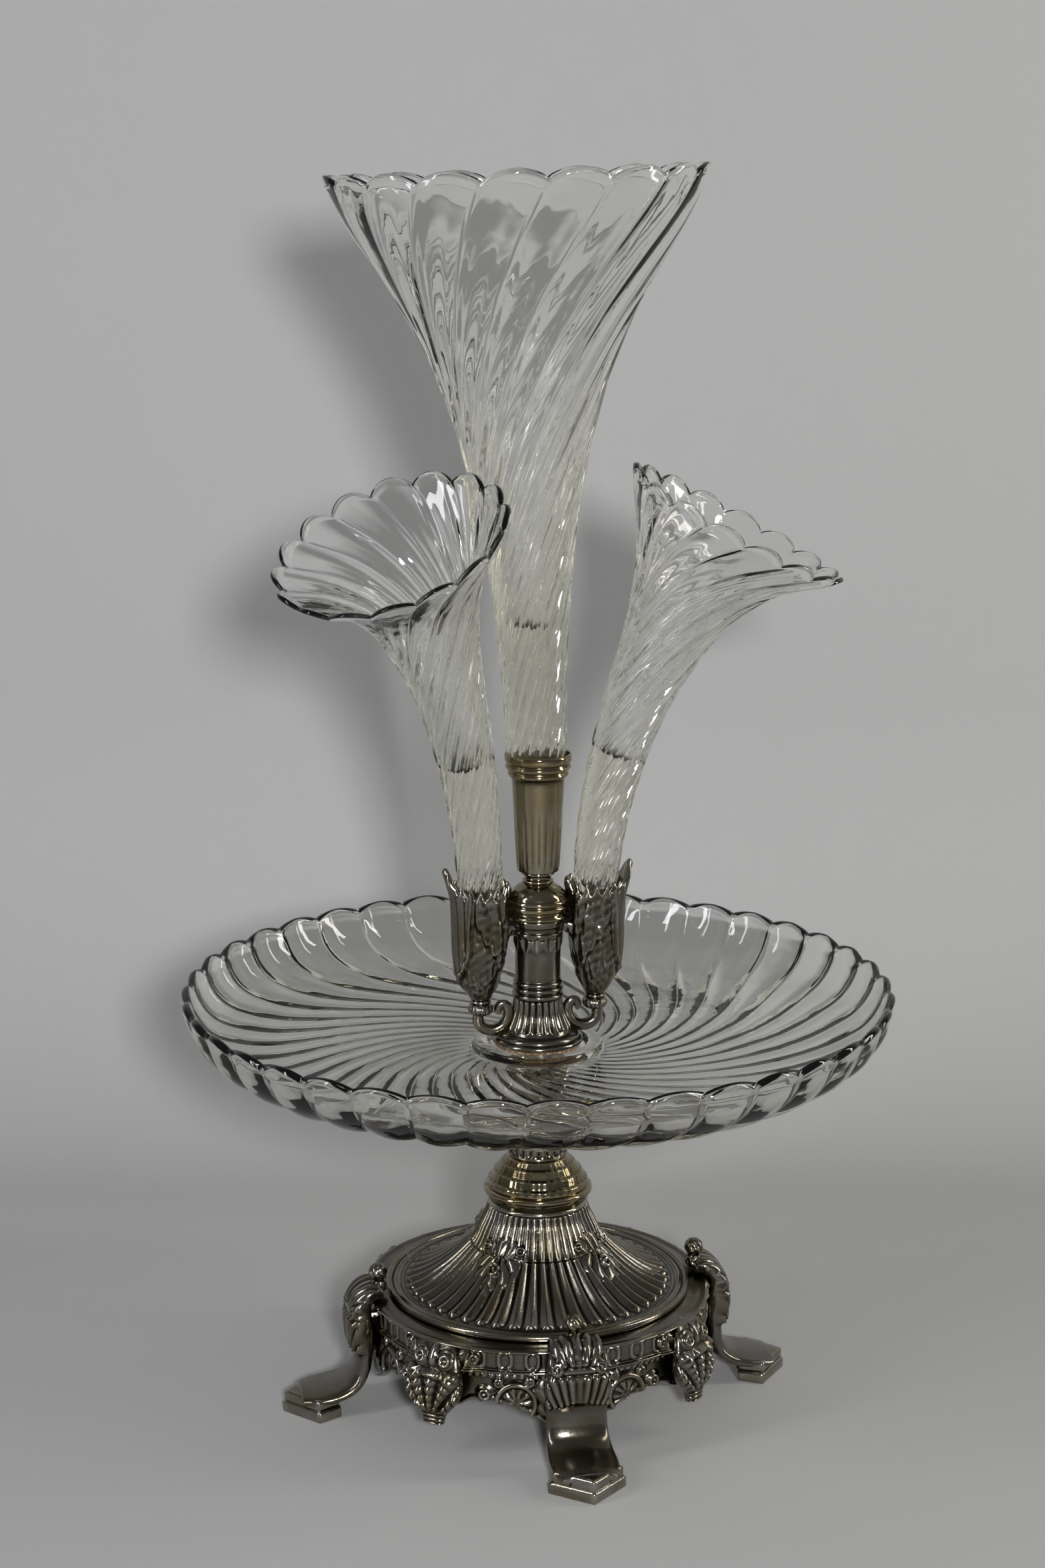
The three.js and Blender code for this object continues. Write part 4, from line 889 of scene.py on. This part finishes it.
# %% Put a foot together
def foot_shells():
    """The leg, the two steps of its toe and the knob, each with whether it is a loop."""
    leg = curve_through([
        [64.1, 49.2, 16, 4], [68.3, 48.9, 19, 5], [71.4, 46.6, 21, 6.4], [72.6, 42.5, 23, 8],
        [72.5, 36, 24, 9.2], [72.0, 30, 24, 9], [72.0, 24, 23.8, 8.2], [73.0, 17.8, 23.8, 7.6],
        [75.6, 12.8, 24.6, 7.2], [80.6, 9.6, 25.8, 6.8], [87, 8.2, 26.4, 6.2], [93, 7.4, 24.6, 5.6],
        [97, 7.0, 20.5, 4.8]], 10)
    square = 3.2 - 1.0 * fade(30, 24, leg[:, 1:2])
    return [
        (swept_bar(leg, 176, square, leaf_carving), False),
        (toe_shell(bottom=0, top=4.6, scale=1.0), False),
        (toe_shell(bottom=4.2, top=8.8, scale=0.92), False),
        (knob_shell(circle=65.1, floor=49.0), False),
    ]


for number, side in enumerate(["right", "back", "left", "front"]):
    shells = [(turned_about(rings, number * TURN / 4), loop) for rings, loop in foot_shells()]
    stands_for(several("foot_" + side + "_casting", shells), "foot_" + side, "cast_pewter")

# %% [markdown]
# ## The petal dish and the cone
# Two rounded mouldings run round the dish of the base. Inside them narrow petals climb to the ribs
# of the cone without a step, and over the middle of each side a cluster of leaves covers the joint.
# The dish and the cone are two pieces, so both draw their petals from one function.

# %% Draw the petals
PETALS = 48
SLOPE_OUTER, SLOPE_INNER, SLOPE_RISE = 55, 26.5, 16.6
dish_floor = frame_high + 0.3


def slope_height(r):
    """The height of the dish's slope at a radius."""
    share = np.clip((SLOPE_OUTER - r) / (SLOPE_OUTER - SLOPE_INNER), 0, 1)
    return dish_floor + 1.4 + SLOPE_RISE * share**1.7


def petal_section(across):
    """How high a petal stands at a distance from its middle line."""
    return 1.2 - 1.7 * across**1.6


def from_petal(angle):
    """The distance from the nearest petal's middle line at an angle round the stem, 1 at its edge."""
    return np.abs(nearest(angle, PETALS)) * PETALS / math.pi


def petal_relief(angle, r, z):
    """Petals with rounded ends, and a cluster of leaves over the middle of each side."""
    across = from_petal(angle)
    end = fade(53.2, 51.6, r + 2.4 * across**3)
    petals = petal_section(across) * end - 0.4 * (1 - end)
    u = nearest(angle, 4, TURN / 8) * 29
    leaf = np.hypot(u / 10, (r - 28) / 9)
    cluster = 2.2 * dome(leaf, 1) * (0.4 + 0.6 * np.abs(np.cos(6 * np.arctan2(r - 24, u))))
    boss = 2.6 * curled(np.hypot(u, r - 30.5), 3.4, 1.9)
    return fade(54.6, 53.8, r) * (r > 25.6) * laid_over(petals, cluster, boss)


# %% Cast the petal dish
def petal_dish():
    """The dish's skin: its mouldings, its slope of petals and its plain hollow back."""
    outer = moulded(at_level(dish_floor, [
        [50, 0], [61, 0], [61, 1.2], [60.6, 2.1], [59.6, 2.4], [58.8, 1.9], [58.4, 1.1], [57.9, 1.7],
        [57.0, 2.2], [56.0, 1.9], [55.2, 1.2], [54.6, 1.4]]), 0.5)
    radii = np.linspace(54.4, SLOPE_INNER + 0.2, 84)
    slope = np.column_stack([radii, slope_height(radii)])
    top = SLOPE_RISE + 1.4
    rest = at_level(dish_floor, [[25.4, top], [BORE, top], [BORE, 14], [21, 14], [32.2, 9.5], [40.8, 3.0]])
    outline = np.vstack([spaced(outer, 0.9), slope, rest])
    angle = around(960)
    rows = np.arange(len(outline))[:, None]
    last = len(outline) - len(rest)
    on_slope = (rows < last) & (rows >= last - len(slope))
    depth = petal_relief(angle, outline[:, :1], outline[:, 1:]) * on_slope
    return skin("petal_dish", with_relief(outline, angle, depth), loop=True)


stands_for(petal_dish(), "base_dish", "cast_pewter")

# %% Cast the cone, with its leaves
cone_low, cone_high = height_of("stem_cone")


def cone_relief(angle, r, z):
    """Ribs that go on from the petals, and the upper half of each cluster of leaves."""
    up = (z - cone_low) / (cone_high - cone_low)
    ribs = (1 - 0.5 * np.clip(up, 0, 1)) * petal_section(from_petal(angle)) * fade(0.91, 0.87, up)
    u = nearest(angle, 4, TURN / 8) * 24
    v = z - cone_low
    leaf = np.hypot(u / 9.4, (v + 1) / 8.6)
    cluster = 2.0 * dome(leaf, 1) * (0.4 + 0.6 * np.abs(np.cos(5.5 * np.arctan2(v + 5, u))))
    curls = 1.7 * curled(np.hypot(np.abs(u) - 7.4, v - 3.2), 2.6, 1.5)
    return laid_over(ribs, cluster, curls) * (r > 12)


cone_slope = curve_through(at_level(cone_low, [
    [26.0, 0], [25.3, 0.9], [24.0, 3.6], [22.4, 7.6], [20.6, 11.6], [19.4, 15.4]]), 14)
cone_top = moulded(at_level(cone_low, [[19.4, 15.4], [19.2, 15.9], [20.1, 16.3]]) + [[20.1, cone_high]],
                   0.3)[1:]
stands_for(turned("cone_casting", np.vstack([cone_slope, cone_top]), 768, cone_relief),
           "stem_cone", "cast_pewter")

# %% [markdown]
# ## The collar, the dome and the neck
# Over the cone sit three pieces that are plainly lathe work: a wide collar, a dome of three ledges and
# a fluted neck that meets the glass. Corners with small fillets catch the light as turned edges do.

# %% Turn the collar, the dome and the neck
low, high = height_of("stem_collar")
collar = moulded(at_level(low, [[19.5, 0], [19.5, 2.4], [20.6, 2.7], [21.6, 3.2], [21.8, 4.2], [21.6, 5.1]])
                 + [[20.9, high]], 0.3)
stands_for(turned("collar_turning", collar, 160), "stem_collar", "polished_pewter")

low, high = height_of("stem_dome")
dome_steps = [[20.2, low], [20.3, low + 0.8]]
for step in range(3):
    share = (step + 0.9) / 3.5
    radius = 12 + 8.2 * (1 - share**1.5)
    dome_steps += [[radius + 0.9, low + 12 * share - 0.7], [radius - 0.5, low + 12 * share - 0.1]]
dome_steps.append([12.2, high])


def dome_relief(angle, r, z):
    """Fine upright ribs on the dome."""
    return 0.05 * np.cos(36 * angle) * within(low + 1.2, high - 0.6, 0.4, z)


stands_for(turned("dome_turning", spaced(moulded(dome_steps, 0.3), 0.6), 384, dome_relief),
           "stem_dome", "polished_pewter")

low, high = height_of("stem_neck")


def neck_relief(angle, r, z):
    """Twenty flutes between the neck's two ends."""
    return 0.9 * (ridges(20, angle) - 0.7) * within(low + 2.4, high - 6, 1.2, z)


neck_outline = np.vstack([
    moulded(at_level(low, [[11.6, 0], [12.0, 0.8], [11.2, 1.8]]), 0.3),
    curve_through(at_level(low, [[11.2, 1.8], [10.6, 9], [9.9, 19], [10.8, 30]]) + [[12.2, high - 4]],
                  8)[1:],
    moulded([[12.2, high - 4], [13.4, high - 3.2], [13.4, high]], 0.4)[1:]])
stands_for(turned("neck_casting", neck_outline, 240, neck_relief), "stem_neck", "cast_pewter")

# %% [markdown]
# ## The column, the cap and the cup
# Above the glass the column stands on two stepped rings. Flutes narrow to three beads, then the
# shaft runs plain to the cap. The cup on top tapers down and steps in sharply to a thin dark neck.
# All are turned outlines, and the flutes are relief, with the soft edges that casting gives them.

# %% Turn the column
low, high = height_of("column")


def column_relief(angle, r, z):
    """Flutes on the waist, and a ring of pointed leaves under the collar."""
    flutes = 1.1 * (ridges(22, angle) ** 0.8 - 0.55) * within(low + 6.4, low + 17.8, 0.7, z)
    fold = np.abs(np.cos(6 * angle))
    leaf = 0.9 * fold * fade(high - 12.4, high - 9.5, z + 2.4 * (1 - fold))
    return flutes + leaf * fade(high - 6.2, high - 6.8, z)


column_outline = np.vstack([
    moulded(at_level(low, [[17.6, 0], [18.0, 0.6], [17.8, 1.6], [16.2, 2.1], [16.3, 2.9], [15.4, 3.8],
                           [13.8, 4.4], [13.3, 5.4]]), 0.5),
    curve_through(at_level(low, [[13.3, 5.4], [11.6, 8.0], [10.0, 12.2], [9.1, 18.0]]), 10)[1:],
    moulded(at_level(low, [[9.1, 18.0], [10.2, 18.8], [10.3, 19.9], [9.2, 20.6], [9.2, 21.0], [10.1, 21.5],
                           [10.1, 22.6], [9.1, 23.1], [9.1, 23.5], [9.9, 24.0], [9.8, 24.9], [9.0, 25.5]])
            + at_level(high, [[9.0, -7.0], [9.9, -6.4], [10, -5.4], [9.3, -4.9], [9.3, -3.2], [10, -2.6],
                              [10, 0]]), 0.3)[1:]])
column = turned("column_casting", spaced(column_outline, 0.8), 264, column_relief)
stands_for(column, "column", "cast_pewter")

# %% Turn the cap and the thin neck
low, high = height_of("column_cap")
cap = np.vstack([
    moulded(at_level(low, [
        [11.6, 0], [12.0, 0.9], [11.4, 1.7], [10.9, 2.3], [10.9, 3.1], [12.1, 3.6], [12.3, 5.0],
        [11.6, 5.5], [11.6, 6.0], [12.3, 6.4], [12.2, 7.4], [11.5, 7.9]]), 0.3),
    curve_through(at_level(low, [[11.5, 7.9], [10.7, 9.6], [8.9, 11.6]]) + [[6.3, high]], 7)[1:]])
stands_for(turned("cap_turning", cap, 128), "column_cap", "polished_pewter")

low, high = height_of("cup_neck")
thin_neck = moulded(at_level(low, [[6.0, 0], [6.3, 0.9], [5.2, 1.7], [5.2, 2.8], [6.6, 3.5]])
                    + [[6.8, high]], 0.3)
stands_for(turned("neck_turning", thin_neck, 96), "cup_neck", "polished_pewter")

# %% Turn the cup
def cup_rings():
    """The cup's rings, up the outside over three beads and down its bore."""
    floor, rim = cup_low, cup_high
    outside = np.vstack([
        moulded(at_level(floor, [[BORE, 0], [7.8, 0], [8.3, 0.5], [8.35, 1.4]]), 0.3),
        curve_through(at_level(floor, [[8.35, 1.4], [9.0, 13], [9.7, 25]]) + [[10.4, rim - 9.4]], 8)[1:],
        moulded(at_level(rim, [
            [10.4, -9.4], [11.6, -8.8], [12.0, -7.8], [11.6, -6.9], [11.5, -6.4], [12.6, -6.0],
            [12.9, -4.9], [12.5, -4.0], [12.3, -3.5], [13.0, -3.1], [13.2, -2.2], [13.2, -0.5],
            [12.9, 0], [12.4, 0]]), 0.35)[1:]])
    inside = at_level(rim, [[12.2, -0.4], [12.2, -3], [10.2, -6.5], [9.0, -11]])
    inside += at_level(floor, [[6.9, 10], [6.4, 3.3], [BORE, 3.3]])
    outline = np.vstack([outside, inside])
    angle = around(160)
    flutes = 0.3 * (ridges(20, angle) - 0.6)
    height = outline[:, 1:] - floor
    is_outside = np.arange(len(outline))[:, None] < len(outside)
    depth = flutes * fade(30, 12, height) * fade(1.2, 2.0, height) * is_outside
    return polar(outline[:, :1] + depth, angle, outline[:, 1:])


stands_for(skin("cup_turning", cup_rings(), loop=True), "centre_cup", "polished_pewter")

# %% [markdown]
# ## The scroll arms and their sockets
# Each arm rolls out of the column's foot like a vine, and a ringed knob at its end carries a
# calyx. The outer leaf of the calyx stands tall and curls away from the glass. The inner side is
# mottled leaf, and pointed teeth stand round the rim. The mottle is a sum of waves and not noise,
# so that it closes round the calyx without a seam. The left arm is the right one, turned half round.

# %% Roll the arms
ARM_BAR = 4.2
SCROLL_ROOT, SCROLL_REACH, SCROLL_RISE = 13.4, 9.6, 12.9
scroll_floor, arm_high = height_of("arm_right")


def scroll_station(share, rise, size):
    """A station of the scroll, as shares of its reach, its rise and its bar."""
    return [SCROLL_ROOT + SCROLL_REACH * share, scroll_floor + ARM_BAR / 2 + SCROLL_RISE * rise,
            ARM_BAR * size, ARM_BAR * size]


def veins(y, x, z, front):
    """Shallow grooves along the bar."""
    return 0.3 * (np.abs(np.cos(y * 2.2)) - 0.5)


def arm_shells():
    """The scroll with its inner volute, and the ball knob under the calyx."""
    scroll = curve_through([scroll_station(*shares) for shares in [
        (0.95, 0.69, 1.0), (1.1, 0.46, 1.0), (1.06, 0.2, 1.02), (0.8, 0.03, 1.06), (0.43, -0.02, 1.1),
        (0.08, 0.1, 1.1), (-0.13, 0.33, 1.05), (-0.15, 0.58, 0.95), (0.0, 0.77, 0.85), (0.19, 0.76, 0.8),
        (0.25, 0.62, 0.85), (0.14, 0.56, 0.7)]], 8)
    knob = moulded(at_level(arm_high, [
        [0.2, -7.2], [2.6, -6.8], [4.4, -5.6], [5.0, -4.0], [4.6, -2.6], [3.5, -1.8], [4.3, -1.2],
        [4.3, -0.5], [3.6, 0], [0.2, 0]]), 0.6)
    angle = around(64)
    beads = 0.35 * np.abs(np.cos(8 * angle)) * within(arm_high - 6.0, arm_high - 2.4, 0.6, knob[:, 1:])
    knob_rings = polar(knob[:, :1] + beads - 0.15, angle, knob[:, 1:]) + np.array([SOCKET_OFFSET, 0, 0])
    return [(swept_bar(scroll, 40, 2.2, veins), False), (knob_rings, False)]


SIDES = [("right", 0), ("left", math.pi)]
for side, heading in SIDES:
    shells = [(turned_about(rings, heading), loop) for rings, loop in arm_shells()]
    stands_for(several("arm_" + side + "_scroll", shells), "arm_" + side, "cast_pewter")

# %% Draw the relief of the calyx
def mottle(angle, z):
    """An uneven, knotty surface from a few waves that never line up."""
    return (np.sin(7 * angle + 3 * np.sin(z * 0.29)) * np.cos(z * 0.61 + 2 * np.sin(4 * angle))
            + 0.7 * np.sin(13 * angle - z * 0.6) * np.cos(z * 1.1 + 3 * angle))


def calyx_relief(angle, away, t, z):
    """Relief of the calyx: a ribbed blade outside, and bark with long leaves round the rest."""
    half = np.interp(t, [0.12, 0.3, 0.45, 0.9], [0.02, 0.7, 0.95, 1.1])
    blade = fade(half + 0.05, half - 0.03, away)
    edge = 0.7 * dome(np.abs(away - half) * 10, 0.9)
    ribs = 0.9 * (np.abs(np.cos(10 * angle)) - 0.4)
    leaf_edge = 2.5 - 1.3 * fade(0.15, 0.8, t)
    leaf = fade(leaf_edge - 0.04, leaf_edge + 0.06, away)
    bark = 0.22 * mottle(angle, z) + 0.7 * np.abs(np.cos(6 * away + 5 * t)) * leaf
    return blade * (0.9 + ribs) + (1 - blade) * (bark + 0.7 * leaf) + edge


# %% Model the calyx
TOOTH, TALL_LEAF = 4.2, 6.6
CALYX_BORE = 8.2
socket_foot, _ = height_of("socket_right")


def calyx_rings():
    """Rings of the calyx, up its leaves, over the teeth and down its bore."""
    angle = around(360)
    tall = np.clip(np.cos(angle), 0, 1) ** 10
    away = np.abs(nearest(angle, 1))
    teeth = TOOTH * (1 - np.abs(np.sin(9 * angle))) ** 0.8 * fade(0.5, 0.8, away)
    top = SOCKET_RIM - TOOTH + teeth + (TOOTH + TALL_LEAF) * tall
    rings = [(3.6 + 0 * angle, socket_foot + 0 * angle)]
    for t in np.linspace(0, 1, 72):
        z = socket_foot + (top - socket_foot) * t
        outer_r = np.interp(t, [0, 0.03, 0.08, 0.17, 0.28, 0.4, 0.68, 1],
                            [4.2, 5.2, 6.6, 8.4, 9.5, 10.0, 10.4, 10.9])
        inner_r = np.interp(t, [0, 0.05, 0.16, 0.34, 0.5, 0.7, 1], [4.2, 5.0, 6.2, 8.2, 9.6, 10.2, 10.9])
        r = inner_r + (outer_r - inner_r) * (1 + np.cos(angle)) / 2
        depth = calyx_relief(angle, away, t, z) * fade(0.03, 0.16, t) * fade(1.02, 0.97, t)
        rings.append((r + depth + 3.0 * tall * fade(0.74, 1.0, t) ** 1.5, z))
    rings.append((10.6 + 3.0 * tall, top + 0.25))
    rings.append((10.1 + 2.6 * tall, top - 0.5))
    for r, z in at_level(SOCKET_RIM, [(9.8, -5), (CALYX_BORE, -7)]) + at_level(socket_foot, [
            (CALYX_BORE, 21), (4.0, 21), (4.0, 5.5), (1.9, 5.5), (1.9, 0)]):
        rings.append((r + 0 * angle, z + 0 * angle))
    return np.array([polar(r, angle, z)[0] for r, z in rings]) + np.array([SOCKET_OFFSET, 0, 0])


# %% Tie it to the column
def tie_ribs(y, x, z, front):
    """Three ribs on the leaf's face."""
    return 0.5 * np.abs(np.cos(y * 1.5)) * front


def tie_shell():
    """The leaf that ties a calyx to the column."""
    top = height_of("column_cap")[0]
    path = curve_through(at_level(top, [
        [9.6, -5.6, 6, 5.0], [11.4, -4.2, 8, 5.4], [13.4, -5.8, 9, 5.0], [14.6, -11, 7, 3.0]]), 8)
    return swept_bar(path, 40, 2.6, tie_ribs)


for side, heading in SIDES:
    shells = [(turned_about(calyx_rings(), heading), True), (turned_about(tie_shell(), heading), False)]
    stands_for(several("calyx_" + side, shells), "socket_" + side, "cast_pewter")

# %% [markdown]
# ## The studio
# A pale floor runs up into a plain wall in one sweep, so that no corner shows behind the glass. The
# wall is paper on its front only, so that a camera behind it looks through to the piece.

# %% Sweep the floor up into the wall
STUDIO_HALF = 2.6
WALL_AT, WALL_BEND, WALL_TOP = 0.42, 0.20, 1.0
PAPER_GREY = 0.375


def pale_paper():
    """Paper that shows from its front only."""
    material, shader = principled("pale paper")
    shader.inputs["Base Color"].default_value = (PAPER_GREY, PAPER_GREY, PAPER_GREY, 1)
    shader.inputs["Roughness"].default_value = 0.8
    tree = material.node_tree
    from_behind = add_node(tree, "ShaderNodeNewGeometry").outputs["Backfacing"]
    clear = add_node(tree, "ShaderNodeBsdfTransparent").outputs["BSDF"]
    one_sided = add_node(tree, "ShaderNodeMixShader", _0=from_behind, _1=shader.outputs["BSDF"], _2=clear)
    tree.links.new(one_sided.outputs["Shader"], tree.nodes["Material Output"].inputs["Surface"])
    return material


def paper_sheet(name, path, material):
    """A wide sheet along a path of (depth, height) that runs away from the camera, in metres."""
    verts = [(x, y, z) for y, z in path for x in (-STUDIO_HALF, STUDIO_HALF)]
    faces = [(2 * i, 2 * i + 1, 2 * i + 3, 2 * i + 2) for i in range(len(path) - 1)]
    mesh = bpy.data.meshes.new(name)
    mesh.from_pydata(verts, [], faces)
    mesh.shade_smooth()
    sheet = in_scene(name, mesh)
    sheet.rotation_euler.z = CAMERA_AZIMUTH
    sheet.data.materials.append(material)
    print(name, len(faces), "strips")


paper = pale_paper()
bend = [(WALL_AT - WALL_BEND + WALL_BEND * math.sin(a), WALL_BEND - WALL_BEND * math.cos(a))
        for a in np.linspace(0, math.pi / 2, 16)]
paper_sheet("backdrop", [(-STUDIO_HALF, 0.0), (-1.0, 0.0)] + bend + [(WALL_AT, WALL_TOP)], paper)
paper_sheet("floor_behind", [(0.1, -0.001), (STUDIO_HALF, -0.001)], paper)


# %% [markdown]
# ### Lamps
# Area lamps are soft in proportion to their size. The key lamp is small and stands close to the
# camera, as the photographer's did, so that the piece throws a shadow with a clear edge on the wall.
# Two tall weak strips, one cool and one warm, draw long highlights on the metal. The room itself
# stays dim, which gives the metal its dark tones.

# %% Hang the lamps
AIM = np.array([0, 0, 0.25])


def lamp(name, place, size, power, colour=(1, 1, 1)):
    """A rectangular lamp that points at the middle of the piece."""
    light = in_scene(name, bpy.data.lights.new(name, "AREA"))
    light.data.shape = "RECTANGLE"
    light.data.size, light.data.size_y = size
    light.data.energy = power
    light.data.color = colour
    light.location = place
    x, y, z = AIM - np.array(place)
    light.rotation_euler = (math.atan2(math.hypot(x, y), -z), 0, math.atan2(y, x) - math.pi / 2)
    print("lamp", name, "of", power, "W")


lamp("key", (-0.17, -1.39, 0.62), (0.11, 0.11), 18)
lamp("left_strip", (-1.0, -0.35, 0.6), (0.12, 1.0), 5, (0.97, 0.98, 1.0))
lamp("right_strip", (1.05, -0.2, 0.6), (0.12, 1.0), 5, (1.0, 0.96, 0.89))

# %% Light the room
world = bpy.data.worlds.new("room")
world.use_nodes = True
room = world.node_tree.nodes["Background"]
room.inputs["Color"].default_value = (0.95, 0.97, 1.0, 1)
room.inputs["Strength"].default_value = 0.17
bpy.context.scene.world = world
bpy.context.scene.view_settings.view_transform = "Standard"
